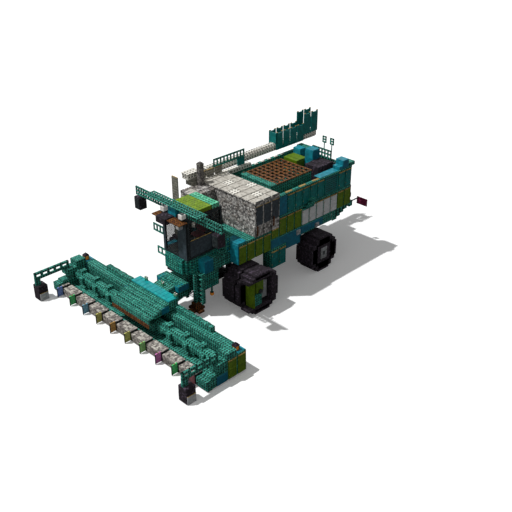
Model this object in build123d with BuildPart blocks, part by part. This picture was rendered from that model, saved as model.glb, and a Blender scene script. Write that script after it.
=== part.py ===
from build123d import *
import math
import os

# A self-propelled combine harvester in stepped, blocky forms, at real size, in millimetres.
# The machine faces -Y, its left side is +X, +Z is up, and the wheels stand on z = 0.

# Body shell
hull_half_width = 1500.0
hull_front_y = -1320.0
hull_rear_y = 5280.0
hull_bottom_z = 1800.0
deck_z = 2640.0
upper_front_y = 880.0
upper_deck_z = 3940.0
bay_floor_z = 3300.0
bay_wall = 110.0
tail_start_y = 4140.0
tail_bottom_z = 2160.0
straw_mouth_half_width = 1100.0
straw_mouth_height = 700.0
straw_mouth_depth = 900.0
tail_lip_drop = 120.0
tail_lip_length = 210.0

# Side panels, hung on the body shell
panel_width = 366.0
panel_height = 733.0
panel_thickness = 40.0
panel_pitch = 440.0
panel_inset = 37.0
panel_rail_height = 36.0
panel_rail_overhang = 14.0
low_panel_top_z = 2543.0
mid_panel_top_z = 2983.0
high_panel_top_z = 3863.0
skirt_panel_top_z = 1663.0
short_panel_height = 380.0

# Side lockers under the body, behind the front wheels
locker_width = 420.0
locker_front_y = 440.0
locker_length = 880.0
locker_bottom_z = 900.0

# Stone-faced front of the grain tank
tank_half_width = 1540.0
tank_front_y = -440.0
tank_top_z = 4048.0
tank_window_recess = 30.0
tank_window_width = 380.0
tank_window_height = 790.0
tank_window_bottom_z = 3110.0
tank_roof_thickness = 44.0
tank_roof_overhang = 20.0
roof_groove_width = 16.0
roof_groove_depth = 12.0
roof_plate_pitch = 385.0

# Open grain hopper and its lid
hopper_half_width = 860.0
hopper_front_y = 1140.0
hopper_length = 2330.0
hopper_wall = 60.0
hopper_top_z = 4040.0
lid_thickness = 50.0
lid_rim = 70.0
lid_bar = 60.0
lid_columns = 8
lid_rows = 10
lid_overhang = 20.0
lid_gap = 6.0
lid_hinge_radius = 28.0
lid_hinge_length = 180.0
lid_hinge_gap = 4.0

# Cab base and cab
cab_half_width = 660.0
cab_front_y = -3080.0
cab_base_half_width = 750.0
cab_base_front_y = -3212.0
cab_base_bottom_z = 1740.0
cab_base_corner = 260.0
cab_floor_z = 2330.0
cab_roof_z = 4000.0
cab_roof_thickness = 190.0
cab_roof_front_y = -2900.0
cab_roof_overhang = 12.0
cab_post = 90.0
cab_sill = 110.0
cab_glass = 24.0
cab_glass_gap = 0.3
cab_door_gap = 8.0
cab_door_frame = 60.0
cab_door_thickness = 46.0
cab_mid_post_y = -1900.0
roof_rear_strip = 320.0
visor_depth = 640.0
visor_half_width = 700.0
visor_thickness = 60.0
visor_drop = 40.0
visor_lamp = 230.0
visor_lamp_x = 400.0
visor_box_width = 360.0
visor_box_height = 150.0
underlamp = 200.0
mirror_bar_half_length = 2420.0
mirror_bar_y = -3560.0
mirror_bar_bottom_z = 4010.0
mirror_bar_height = 340.0
mirror_bar_thickness = 60.0
mirror_width = 350.0
mirror_depth = 300.0
mirror_height = 470.0
mirror_x = 2190.0
seat_width = 480.0
seat_depth = 460.0
seat_height = 430.0
seat_back_height = 620.0
seat_cushion = 130.0
seat_y = -1950.0
column_radius = 45.0
column_height = 760.0
column_y = -2620.0
wheel_rim_radius = 190.0
wheel_rim_section = 16.0

# Steps and rails beside the cab
side_block_width = 660.0
side_block_front_y = -2640.0
side_block_height = 440.0
side_block_top_z = 2290.0
corner_block_width = 660.0
corner_block_length = 440.0
corner_block_height = 200.0
ladder_rail = 50.0
ladder_width = 520.0
ladder_steps = 5
ladder_step_depth = 160.0
ladder_step_thickness = 40.0
ladder_bottom_z = 520.0
guard_front_y = -1740.0
guard_height = 620.0
guard_thickness = 44.0

# Chassis
rail_x = 540.0
rail_width = 110.0
rail_height = 200.0
rail_front_y = -1700.0
rail_rear_y = 4000.0
cross_member_depth = 120.0

# Front wheels
front_axle_y = -924.0
front_tyre_radius = 840.0
front_tyre_flat = 390.0
front_tyre_width = 640.0
dual_gap = 80.0
front_wheel_inner_x = 1060.0
front_rim_radius = 500.0
front_rim_recess = 300.0
front_hub_radius = 210.0
front_hub_length = 150.0
axle_beam = 240.0
final_drive_radius = 300.0
final_drive_width = 200.0
axle_running_gap = 6.0
stub_radius = 90.0
stub_clearance = 0.05
spoke_width = 120.0

# Rear wheels and steering
rear_axle_y = 3168.0
rear_tyre_radius = 790.0
rear_tyre_flat = 340.0
rear_tyre_width = 860.0
rear_wheel_inner_x = 1110.0
rear_rim_radius = 420.0
rear_rim_recess = 180.0
rear_hub_radius = 200.0
rear_hub_length = 120.0
kingpin_x = 960.0
kingpin_radius = 45.0
knuckle_width = 110.0
knuckle_height = 240.0
knuckle_depth = 200.0
fork_arm = 70.0
rear_beam = 200.0
fork_gap = 6.0
steer_arm_length = 260.0

# Feeder house, which lifts the header
lift_pivot_y = -1560.0
lift_pivot_z = 1560.0
lift_pin_radius = 50.0
lift_pin_clearance = 0.05
lift_ear_thickness = 60.0
feeder_half_width = 420.0
feeder_rear_height = 560.0
feeder_front_height = 760.0
feeder_front_top_z = 1290.0
feeder_step_rise = 70.0
feeder_rib = 60.0
feeder_seat_gap = 0.3
feeder_wall = 60.0
mouth_bottom_z = 600.0
mouth_height = 260.0
mouth_depth = 600.0
lift_cylinder_x = 300.0
cylinder_radius = 60.0
cylinder_rod_radius = 32.0
cylinder_length = 1150.0
cylinder_eye_radius = 70.0
cylinder_neck = 110.0
cylinder_eye_width = 70.0
cylinder_pin_radius = 28.0
cylinder_foot_y = -1240.0
cylinder_foot_z = 780.0
cylinder_head_y = -2900.0
cylinder_head_z = 640.0
cylinder_gap = 4.0

# Header
header_half_width = 4620.0
header_end_width = 440.0
header_rear_y = -3960.0
header_wall_thickness = 200.0
header_top_z = 880.0
header_step = 220.0
header_crest_half_width = 3080.0
header_crest_height = 220.0
header_floor_z = 60.0
header_floor_thickness = 90.0
header_floor_front_y = -5330.0
header_ramp_z = 330.0
end_plate_front_y = -5500.0
end_plate_low_z = 440.0
end_plate_mid_y = -4840.0
end_cap_height = 60.0
end_block_height = 220.0
auger_y = -4790.0
auger_z = 560.0
auger_tube_radius = 190.0
auger_flight_radius = 300.0
auger_flight_thickness = 260.0
auger_flight_width = 200.0
auger_flight_pitch = 880.0
auger_flight_first_x = 520.0
auger_flights = 4
auger_stub_radius = 45.0
auger_end_gap = 20.0
hood_half_width = 1100.0
hood_top_z = 1320.0
hood_steps = 5
hood_underside_z = 960.0
hood_side = 60.0
hood_front_y = -5280.0
hood_strip_depth = 440.0
hood_strip_height = 60.0
lip_height = 220.0
lip_thickness = 40.0
cutter_bar_front_y = -5720.0
cutter_bar_bottom_z = 40.0
cutter_bar_height = 330.0
cutter_segment_gap = 30.0
divider_pitch = 880.0
divider_count = 10
divider_thickness = 40.0
divider_length = 250.0
divider_bottom_z = 20.0
divider_height = 420.0
guard_post_width = 110.0
guard_post_height = 390.0

# Outriggers ahead of the header's ends
outrigger_x = 4400.0
outrigger_tip_y = -6600.0
outrigger_arm_bottom_z = 880.0
outrigger_arm_height = 300.0
outrigger_arm_thickness = 110.0
outrigger_shoe_width = 400.0
outrigger_shoe_length = 400.0
outrigger_shoe_height = 640.0
outrigger_skid_width = 366.0
outrigger_skid_thickness = 40.0
outrigger_skid_height = 340.0

# Lanterns
lantern_width = 150.0
lantern_height = 170.0
lantern_cap_height = 60.0
lantern_cap_taper = 35.0
lantern_y = -4240.0

# Unloading auger
unload_x = -1800.0
unload_pivot_y = 0.0
unload_radius = 180.0
unload_axis_z = 4250.0
unload_bare_length = 3940.0
unload_hood_length = 1760.0
unload_hood_half_width = 230.0
unload_hood_top_z = 4930.0
unload_hood_bottom_z = 4130.0
unload_spout_length = 900.0
unload_spout_rise = 420.0
unload_spout_drop = 260.0
unload_shell = 40.0
unload_elbow_radius = 190.0
unload_post_radius = 170.0
unload_post_gap = 6.0
unload_collar_height = 90.0

# Rear deck
engine_length = 700.0
engine_half_width = 440.0
engine_height = 860.0
engine_y = 4000.0
air_box_width = 420.0
air_box_length = 420.0
air_box_height = 1150.0
air_box_x = -560.0
air_box_y = 4100.0
screen_height = 760.0
screen_half_width = 1100.0
screen_y = 4780.0
screen_thickness = 60.0
rear_cap_length = 200.0
rear_cap_height = 150.0

# Lattice
lattice_bar = 40.0
lattice_pitch = 110.0

# Rear hitch and marker
hitch_width = 160.0
hitch_height = 120.0
hitch_reach = 260.0
hitch_bore_radius = 16.0
hitch_z = 1500.0
hitch_drop_y = 3900.0
marker_width = 260.0
marker_height = 200.0
marker_thickness = 40.0
marker_x = 1180.0
marker_z = 2420.0
marker_arm = 300.0
marker_arm_section = 50.0

# Support leg with its foot, and small lamps
leg_x = 560.0
leg_width = 150.0
leg_y = -2850.0
foot_width = 420.0
foot_thickness = 70.0
foot_clearance = 180.0
lamp_radius = 70.0
lamp_length = 60.0
seat = 0.3
cut_over = 20.0


def block(x0, x1, y0, y1, z0, z1, mode=Mode.ADD):
    """Adds or cuts the block between two places along each axis."""
    with Locations(((x0 + x1) / 2, (y0 + y1) / 2, (z0 + z1) / 2)):
        Box(x1 - x0, y1 - y0, z1 - z0, mode=mode)


def slab(points, plane, depth, both=False, mode=Mode.ADD):
    """Extrudes a closed outline, drawn on a plane, by a depth."""
    with BuildSketch(plane) as outline:
        with BuildLine():
            Polyline(*points, close=True)
        make_face()
    extrude(outline.sketch, amount=depth, both=both, mode=mode)


def drum(radius, length, place, axis, mode=Mode.ADD):
    """Adds or cuts a cylinder centred on a place, along an axis of the frame."""
    turn = {"X": (0, 90, 0), "Y": (90, 0, 0), "Z": (0, 0, 0)}[axis]
    with Locations(Location(place, turn)):
        Cylinder(radius, length, mode=mode)


def stepped_disc(radius, flat):
    """Gives the outline of a disc in stair steps: flats at the radius, two steps in each corner."""
    reach = math.hypot(radius, flat)
    middle = reach / math.sqrt(2)
    outer = (radius + middle) / 2
    inner = math.sqrt(reach ** 2 - outer ** 2)
    corner = [(radius, flat), (outer, flat), (outer, inner), (inner, inner), (inner, outer), (flat, outer),
              (flat, radius)]
    points = []
    for turn in range(4):
        for a, b in corner:
            for _ in range(turn):
                a, b = -b, a
            points.append((a, b))
    return points


def lattice_panel(plane, width, height, thickness):
    """Extrudes an upright rectangle pierced by a grid of square holes, centred on a plane's origin."""
    columns = max(1, int((width - lattice_bar) / lattice_pitch))
    rows = max(1, int((height - lattice_bar) / lattice_pitch))
    step_x = (width - lattice_bar) / columns
    step_y = (height - lattice_bar) / rows
    with BuildSketch(plane) as face:
        Rectangle(width, height)
        with GridLocations(step_x, step_y, columns, rows):
            Rectangle(step_x - lattice_bar, step_y - lattice_bar, mode=Mode.SUBTRACT)
    extrude(face.sketch, amount=thickness / 2, both=True)


made = []


def keep(name, label):
    """Labels a finished sub-part and remembers it for the export."""
    name.part.label = label
    made.append(name.part)


# Body shell: a stepped side profile with an engine bay on top and a straw mouth behind
straw_front_y = hull_rear_y - straw_mouth_depth
with BuildPart() as hull:
    side = [(hull_front_y, hull_bottom_z), (hull_front_y, deck_z), (upper_front_y, deck_z),
            (upper_front_y, upper_deck_z), (hull_rear_y, upper_deck_z), (hull_rear_y, tail_bottom_z),
            (tail_start_y, tail_bottom_z), (tail_start_y, hull_bottom_z)]
    slab(side, Plane.YZ, hull_half_width, both=True)
    bay_half = hull_half_width - bay_wall
    block(-bay_half, bay_half, upper_front_y + bay_wall, hull_rear_y - bay_wall, bay_floor_z,
          upper_deck_z + cut_over, mode=Mode.SUBTRACT)
    block(-straw_mouth_half_width, straw_mouth_half_width, straw_front_y, hull_rear_y + cut_over,
          tail_bottom_z - cut_over, tail_bottom_z + straw_mouth_height, mode=Mode.SUBTRACT)
    for side_sign in (-1, 1):
        mouth_edge = side_sign * straw_mouth_half_width
        outer = side_sign * hull_half_width
        cap_edge = side_sign * (hull_half_width - corner_block_width)
        block(min(mouth_edge, outer), max(mouth_edge, outer), hull_rear_y, hull_rear_y + tail_lip_length,
              tail_bottom_z - tail_lip_drop, tail_bottom_z + tail_lip_drop)
        block(min(cap_edge, outer), max(cap_edge, outer), hull_rear_y - bay_wall, hull_rear_y + rear_cap_length,
              upper_deck_z, upper_deck_z + rear_cap_height)
keep(hull, "hull")


def hang_panels(front_y, count, top_z, height):
    """Hangs a row of panels with a top rail on both sides of the body."""
    for side_sign in (-1, 1):
        for index in range(count):
            start = front_y + index * panel_pitch + panel_inset
            inner = side_sign * hull_half_width
            outer = side_sign * (hull_half_width + panel_thickness)
            rail = side_sign * (hull_half_width + panel_thickness + panel_rail_overhang)
            block(min(inner, outer), max(inner, outer), start, start + panel_width, top_z - height, top_z)
            block(min(inner, rail), max(inner, rail), start, start + panel_width, top_z - panel_rail_height, top_z)


def panel_station(count):
    """Gives the place along the body of a panel's front edge."""
    return hull_front_y + count * panel_pitch


# Side panels: columns are first station, number of panels, top and height
olive_rows = [(0, 4, low_panel_top_z, panel_height), (4, 1, deck_z, short_panel_height),
              (5, 3, mid_panel_top_z, panel_height), (13, 2, mid_panel_top_z, panel_height)]
with BuildPart() as olive_panels:
    for station, count, top_z, height in olive_rows:
        hang_panels(panel_station(station), count, top_z, height)
keep(olive_panels, "olive_panels")

with BuildPart() as white_panels:
    hang_panels(panel_station(8), 5, mid_panel_top_z, panel_height)
keep(white_panels, "white_panels")

# Teal panels: the upper rows, the skirts on the lockers and the slotted louvre between the upper rows
teal_rows = [(6, 5, high_panel_top_z, panel_height), (13, 2, high_panel_top_z, panel_height)]
with BuildPart() as teal_panels:
    for station, count, top_z, height in teal_rows:
        hang_panels(panel_station(station), count, top_z, height)
    hang_panels(locker_front_y, 2, skirt_panel_top_z, panel_height)
    louvre_front_y = panel_station(11) + panel_inset
    for side_sign in (-1, 1):
        inner = side_sign * hull_half_width
        outer = side_sign * (hull_half_width + panel_thickness)
        low_x, high_x = min(inner, outer), max(inner, outer)
        louvre_rear_y = louvre_front_y + panel_pitch + panel_width
        block(low_x, high_x, louvre_front_y, louvre_rear_y, high_panel_top_z - panel_height, high_panel_top_z)
        slot = panel_height / 11
        for index in range(5):
            slot_z = high_panel_top_z - (2 * index + 2) * slot
            face = outer
            block(min(face, face - side_sign * panel_thickness / 2), max(face, face - side_sign * panel_thickness / 2),
                  louvre_front_y + panel_inset, louvre_rear_y - panel_inset, slot_z, slot_z + slot,
                  mode=Mode.SUBTRACT)
keep(teal_panels, "teal_panels")

# Side lockers
with BuildPart() as lockers:
    for side_sign in (-1, 1):
        inner = side_sign * (hull_half_width - locker_width)
        outer = side_sign * hull_half_width
        block(min(inner, outer), max(inner, outer), locker_front_y, locker_front_y + locker_length,
              locker_bottom_z, hull_bottom_z)
keep(lockers, "lockers")

# Stone-faced tank front with window recesses
with BuildPart() as tank_front:
    block(-tank_half_width, tank_half_width, tank_front_y, upper_front_y, deck_z, tank_top_z)
    window_pitch = (upper_front_y - tank_front_y) / 3
    for side_sign in (-1, 1):
        for index in range(3):
            middle = tank_front_y + (index + 0.5) * window_pitch
            outer = side_sign * (tank_half_width + cut_over)
            inner = side_sign * (tank_half_width - tank_window_recess)
            block(min(inner, outer), max(inner, outer), middle - tank_window_width / 2,
                  middle + tank_window_width / 2, tank_window_bottom_z,
                  tank_window_bottom_z + tank_window_height, mode=Mode.SUBTRACT)
keep(tank_front, "tank_front")

with BuildPart() as tank_windows:
    for side_sign in (-1, 1):
        for index in range(3):
            middle = tank_front_y + (index + 0.5) * window_pitch
            inner = side_sign * (tank_half_width - tank_window_recess)
            outer = side_sign * (tank_half_width - tank_window_recess / 3)
            block(min(inner, outer), max(inner, outer), middle - tank_window_width / 2 + seat,
                  middle + tank_window_width / 2 - seat, tank_window_bottom_z + seat,
                  tank_window_bottom_z + tank_window_height - seat)
keep(tank_windows, "tank_windows")

# Tank roof in square plates, parted by shallow grooves
with BuildPart() as tank_roof:
    roof_half = tank_half_width + tank_roof_overhang
    roof_front_y = tank_front_y - tank_roof_overhang
    roof_top_z = tank_top_z + tank_roof_thickness
    block(-roof_half, roof_half, roof_front_y, upper_front_y, tank_top_z, roof_top_z)
    roof_columns = int(2 * roof_half / roof_plate_pitch)
    roof_rows = int((upper_front_y - roof_front_y) / roof_plate_pitch)
    for index in range(1, roof_columns):
        groove_x = -roof_half + index * 2 * roof_half / roof_columns
        block(groove_x - roof_groove_width / 2, groove_x + roof_groove_width / 2, roof_front_y - cut_over,
              upper_front_y + cut_over, roof_top_z - roof_groove_depth, roof_top_z + cut_over, mode=Mode.SUBTRACT)
    for index in range(1, roof_rows):
        groove_y = roof_front_y + index * (upper_front_y - roof_front_y) / roof_rows
        block(-roof_half - cut_over, roof_half + cut_over, groove_y - roof_groove_width / 2,
              groove_y + roof_groove_width / 2, roof_top_z - roof_groove_depth, roof_top_z + cut_over,
              mode=Mode.SUBTRACT)
keep(tank_roof, "tank_roof")

# Open grain hopper
hopper_rear_y = hopper_front_y + hopper_length
with BuildPart() as hopper:
    block(-hopper_half_width, hopper_half_width, hopper_front_y, hopper_rear_y, bay_floor_z, hopper_top_z)
    block(-hopper_half_width + hopper_wall, hopper_half_width - hopper_wall, hopper_front_y + hopper_wall,
          hopper_rear_y - hopper_wall, bay_floor_z + hopper_wall, hopper_top_z + cut_over, mode=Mode.SUBTRACT)
    lid_hinge_x = -hopper_half_width - lid_overhang - lid_hinge_radius
    lid_hinge_z = hopper_top_z + lid_gap + lid_thickness / 2
    for hinge_y in (hopper_front_y + lid_hinge_length, hopper_rear_y - lid_hinge_length):
        block(lid_hinge_x - lid_hinge_radius, -hopper_half_width, hinge_y - lid_hinge_length / 2,
              hinge_y + lid_hinge_length / 2, hopper_top_z - lid_hinge_length,
              hopper_top_z - lid_hinge_radius)
        block(lid_hinge_x - lid_hinge_radius, lid_hinge_x + lid_hinge_radius, hinge_y - lid_hinge_length / 2,
              hinge_y - lid_hinge_length / 4, hopper_top_z - lid_hinge_length, lid_hinge_z)
        drum(lid_hinge_radius, lid_hinge_length / 4,
             (lid_hinge_x, hinge_y - 3 * lid_hinge_length / 8, lid_hinge_z), "Y")
        drum(lid_hinge_radius / 2, lid_hinge_length * 3 / 4,
             (lid_hinge_x, hinge_y - lid_hinge_length / 8, lid_hinge_z), "Y")
keep(hopper, "hopper")

# Hopper lid: a grid of square holes in a rim
with BuildPart() as hopper_lid:
    lid_half = hopper_half_width + lid_overhang
    lid_length = hopper_length + 2 * lid_overhang
    lid_middle_y = hopper_front_y + hopper_length / 2
    lid_bottom_z = hopper_top_z + lid_gap
    hole_pitch_x = (2 * (lid_half - lid_rim) + lid_bar) / lid_columns
    hole_pitch_y = (lid_length - 2 * lid_rim + lid_bar) / lid_rows
    with BuildSketch(Plane.XY.offset(lid_bottom_z)) as lid_face:
        with Locations((0, lid_middle_y)):
            Rectangle(2 * lid_half, lid_length)
            with GridLocations(hole_pitch_x, hole_pitch_y, lid_columns, lid_rows):
                Rectangle(hole_pitch_x - lid_bar, hole_pitch_y - lid_bar, mode=Mode.SUBTRACT)
    extrude(amount=lid_thickness)
    for hinge_y in (hopper_front_y + lid_hinge_length, hopper_rear_y - lid_hinge_length):
        knuckle_start = hinge_y - lid_hinge_length / 4 + lid_hinge_gap
        knuckle_end = hinge_y + lid_hinge_length / 4
        block(lid_hinge_x, -lid_half + lid_rim / 2, knuckle_start, knuckle_end,
              lid_bottom_z, lid_bottom_z + lid_thickness)
        drum(lid_hinge_radius, knuckle_end - knuckle_start,
             (lid_hinge_x, (knuckle_start + knuckle_end) / 2, lid_hinge_z), "Y")
        drum(lid_hinge_radius / 2 + stub_clearance, lid_hinge_length,
             (lid_hinge_x, hinge_y, lid_hinge_z), "Y", mode=Mode.SUBTRACT)
keep(hopper_lid, "hopper_lid")

# Cab base: a rounded nose in front of the body shell
with BuildPart() as cab_base:
    with BuildSketch(Plane.XY.offset(cab_base_bottom_z)) as base_face:
        with Locations((0, (cab_base_front_y + hull_front_y) / 2)):
            Rectangle(2 * cab_base_half_width, hull_front_y - cab_base_front_y)
        front_corners = base_face.vertices().group_by(Axis.Y)[0]
        chamfer(front_corners, length=cab_base_corner)
    extrude(amount=cab_floor_z - cab_base_bottom_z)
keep(cab_base, "cab_base")

# Cab frame: sill, corner posts and head, open between them
cab_rear_y = hull_front_y
cab_head_z = cab_roof_z - cab_sill
window_low_z = cab_floor_z + cab_sill
door_rear_y = cab_mid_post_y + cab_post / 2
door_front_y = cab_front_y + cab_post / 2
door_low_z = window_low_z - cab_door_frame / 2
door_high_z = cab_head_z + cab_door_frame / 2
door_inner_x = cab_half_width + cab_door_gap
door_hinge_x = door_inner_x + cab_door_thickness / 2
door_hinge_y = door_rear_y + cab_door_gap + cab_door_thickness / 2
door_hinge_levels = (door_low_z + 3 * cab_door_frame, door_high_z - 3 * cab_door_frame)
with BuildPart() as cab_frame:
    block(-cab_half_width, cab_half_width, cab_front_y, cab_rear_y, cab_floor_z, cab_roof_z)
    block(-cab_half_width + cab_post, cab_half_width - cab_post, cab_front_y + cab_post, cab_rear_y - cab_post,
          cab_floor_z + cab_sill, cab_head_z, mode=Mode.SUBTRACT)
    block(-cab_half_width + cab_post, cab_half_width - cab_post, cab_front_y - cut_over, cab_front_y + cab_post,
          window_low_z, cab_head_z, mode=Mode.SUBTRACT)
    block(-cab_half_width + cab_post, cab_half_width - cab_post, cab_rear_y - cab_post, cab_rear_y + cut_over,
          deck_z + cab_sill, cab_head_z, mode=Mode.SUBTRACT)
    for side_sign in (-1, 1):
        inner = side_sign * (cab_half_width - cab_post)
        outer = side_sign * (cab_half_width + cut_over)
        for from_y, to_y in ((cab_front_y + cab_post, cab_mid_post_y), (cab_mid_post_y + cab_post,
                                                                       cab_rear_y - cab_post)):
            block(min(inner, outer), max(inner, outer), from_y, to_y, window_low_z, cab_head_z,
                  mode=Mode.SUBTRACT)
    for hinge_z in door_hinge_levels:
        block(cab_half_width, door_hinge_x, door_hinge_y - cab_door_thickness / 2,
              door_hinge_y + cab_door_thickness / 2, hinge_z, hinge_z + cab_door_frame)
        drum(cab_door_thickness / 2, cab_door_frame, (door_hinge_x, door_hinge_y, hinge_z + cab_door_frame / 2),
             "Z")
keep(cab_frame, "cab_frame")

# Cab glass: front pane, rear pane, rear side panes and the right front side pane
with BuildPart() as cab_glazing:
    pane_gap = cab_glass_gap
    pane_half = cab_half_width - cab_post - pane_gap
    pane_low, pane_high = window_low_z + pane_gap, cab_head_z - pane_gap
    block(-pane_half, pane_half, cab_front_y + cab_glass, cab_front_y + 2 * cab_glass, pane_low, pane_high)
    block(-pane_half, pane_half, cab_rear_y - 2 * cab_glass, cab_rear_y - cab_glass,
          deck_z + cab_sill + pane_gap, pane_high)
    side_panes = [(-1, cab_front_y + cab_post, cab_mid_post_y),
                  (-1, cab_mid_post_y + cab_post, cab_rear_y - cab_post),
                  (1, cab_mid_post_y + cab_post, cab_rear_y - cab_post)]
    for side_sign, from_y, to_y in side_panes:
        inner = side_sign * (cab_half_width - 2 * cab_glass)
        outer = side_sign * (cab_half_width - cab_glass)
        block(min(inner, outer), max(inner, outer), from_y + pane_gap, to_y - pane_gap, pane_low, pane_high)
keep(cab_glazing, "cab_glazing")

# Cab door on the left side, hinged at its rear edge
with BuildPart() as cab_door:
    block(door_inner_x, door_inner_x + cab_door_thickness, door_front_y, door_rear_y, door_low_z, door_high_z)
    block(door_inner_x - cut_over, door_inner_x + cab_door_thickness + cut_over, door_front_y + cab_door_frame,
          door_rear_y - cab_door_frame, door_low_z + cab_door_frame, door_high_z - cab_door_frame,
          mode=Mode.SUBTRACT)
    handle_z = (door_low_z + door_high_z) / 2
    block(door_inner_x + cab_door_thickness, door_inner_x + 2 * cab_door_thickness,
          door_front_y, door_front_y + cab_door_frame, handle_z - cab_door_frame, handle_z + cab_door_frame)
    for hinge_z in door_hinge_levels:
        block(door_inner_x, door_inner_x + cab_door_thickness, door_rear_y, door_hinge_y,
              hinge_z - cab_door_frame, hinge_z - seat)
        drum(cab_door_thickness / 2, cab_door_frame - seat,
             (door_hinge_x, door_hinge_y, hinge_z - (cab_door_frame + seat) / 2), "Z")
keep(cab_door, "cab_door")

with BuildPart() as cab_door_glass:
    block(door_inner_x + cab_door_thickness / 4, door_inner_x + cab_door_thickness * 3 / 4,
          door_front_y + cab_door_frame + cab_glass_gap, door_rear_y - cab_door_frame - cab_glass_gap,
          door_low_z + cab_door_frame + cab_glass_gap, door_high_z - cab_door_frame - cab_glass_gap)
keep(cab_door_glass, "cab_door_glass")

# Cab roof, its rear strip and the visor with its work lamps
roof_z = cab_roof_z + cab_roof_thickness
with BuildPart() as cab_roof:
    block(-cab_half_width - cab_roof_overhang, cab_half_width + cab_roof_overhang, cab_roof_front_y,
          cab_rear_y, cab_roof_z, roof_z)
    block(-cab_half_width - cab_roof_overhang - cut_over, cab_half_width + cab_roof_overhang + cut_over,
          cab_rear_y - roof_rear_strip - roof_groove_width, cab_rear_y - roof_rear_strip,
          roof_z - roof_groove_depth, roof_z + cut_over, mode=Mode.SUBTRACT)
keep(cab_roof, "cab_roof")

visor_top_z = cab_roof_z - visor_drop
with BuildPart() as visor:
    for side_sign in (-1, 1):
        outer = side_sign * visor_half_width
        inner = side_sign * visor_box_width / 2
        block(min(inner, outer), max(inner, outer), cab_front_y - visor_depth, cab_front_y,
              visor_top_z - visor_thickness, visor_top_z)
    block(-visor_box_width / 2, visor_box_width / 2, cab_front_y - visor_depth / 2, cab_front_y,
          visor_top_z - visor_thickness, visor_top_z)
    block(-visor_box_width / 2, visor_box_width / 2, cab_front_y - visor_depth,
          cab_front_y - visor_depth / 2, visor_top_z - visor_box_height, visor_top_z + visor_drop)
keep(visor, "visor")

with BuildPart() as work_lamps:
    lamp_y = cab_front_y - visor_depth / 2
    for side_sign in (-1, 1):
        lamp_x = side_sign * visor_lamp_x
        block(lamp_x - visor_lamp / 2, lamp_x + visor_lamp / 2, lamp_y - visor_lamp / 2, lamp_y + visor_lamp / 2,
              visor_top_z, visor_top_z + visor_lamp)
        block(lamp_x - underlamp / 2, lamp_x + underlamp / 2, lamp_y - underlamp / 2, lamp_y + underlamp / 2,
              visor_top_z - visor_thickness - underlamp, visor_top_z - visor_thickness)
keep(work_lamps, "work_lamps")

# Mirror bar: a long lattice across the cab's front, on two brackets
with BuildPart() as mirror_bar:
    bar_plane = Plane.XZ.offset(-mirror_bar_y)
    bar_plane.origin = (0, mirror_bar_y, mirror_bar_bottom_z + mirror_bar_height / 2)
    lattice_panel(bar_plane, 2 * mirror_bar_half_length, mirror_bar_height, mirror_bar_thickness)
    for side_sign in (-1, 1):
        bracket_x = side_sign * (cab_half_width - cab_post / 2)
        block(bracket_x - cab_post / 2, bracket_x + cab_post / 2, mirror_bar_y, cab_roof_front_y,
              mirror_bar_bottom_z, mirror_bar_bottom_z + cab_post)
        mirror_middle = side_sign * mirror_x
        block(mirror_middle - mirror_width / 2, mirror_middle + mirror_width / 2,
              mirror_bar_y - mirror_depth / 2, mirror_bar_y + mirror_depth / 2,
              mirror_bar_bottom_z - mirror_height, mirror_bar_bottom_z)
keep(mirror_bar, "mirror_bar")

# Driver's seat and steering column inside the cab
floor_inside_z = cab_floor_z + cab_sill
with BuildPart() as driver_station:
    block(-seat_width / 2, seat_width / 2, seat_y - seat_depth / 2, seat_y + seat_depth / 2,
          floor_inside_z + seat_height - seat_cushion, floor_inside_z + seat_height)
    block(-seat_width / 4, seat_width / 4, seat_y - seat_depth / 4, seat_y + seat_depth / 4,
          floor_inside_z, floor_inside_z + seat_height)
    block(-seat_width / 2, seat_width / 2, seat_y + seat_depth / 2 - seat_cushion, seat_y + seat_depth / 2,
          floor_inside_z + seat_height - seat_cushion, floor_inside_z + seat_height + seat_back_height)
    drum(column_radius, column_height, (0, column_y, floor_inside_z + column_height / 2), "Z")
    with Locations((0, column_y, floor_inside_z + column_height)):
        Torus(wheel_rim_radius, wheel_rim_section)
    block(-wheel_rim_radius, wheel_rim_radius, column_y - wheel_rim_section, column_y + wheel_rim_section,
          floor_inside_z + column_height - wheel_rim_section, floor_inside_z + column_height
          + wheel_rim_section)
keep(driver_station, "driver_station")

# Blocks beside the cab and on the front deck's corners
with BuildPart() as side_blocks:
    for side_sign in (-1, 1):
        inner = side_sign * cab_base_half_width
        outer = side_sign * (cab_base_half_width + side_block_width)
        block(min(inner, outer), max(inner, outer), side_block_front_y, hull_front_y,
              side_block_top_z - side_block_height, side_block_top_z)
        corner = side_sign * (hull_half_width - corner_block_width)
        edge = side_sign * hull_half_width
        block(min(corner, edge), max(corner, edge), hull_front_y, hull_front_y + corner_block_length,
              deck_z, deck_z + corner_block_height)
keep(side_blocks, "side_blocks")

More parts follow.
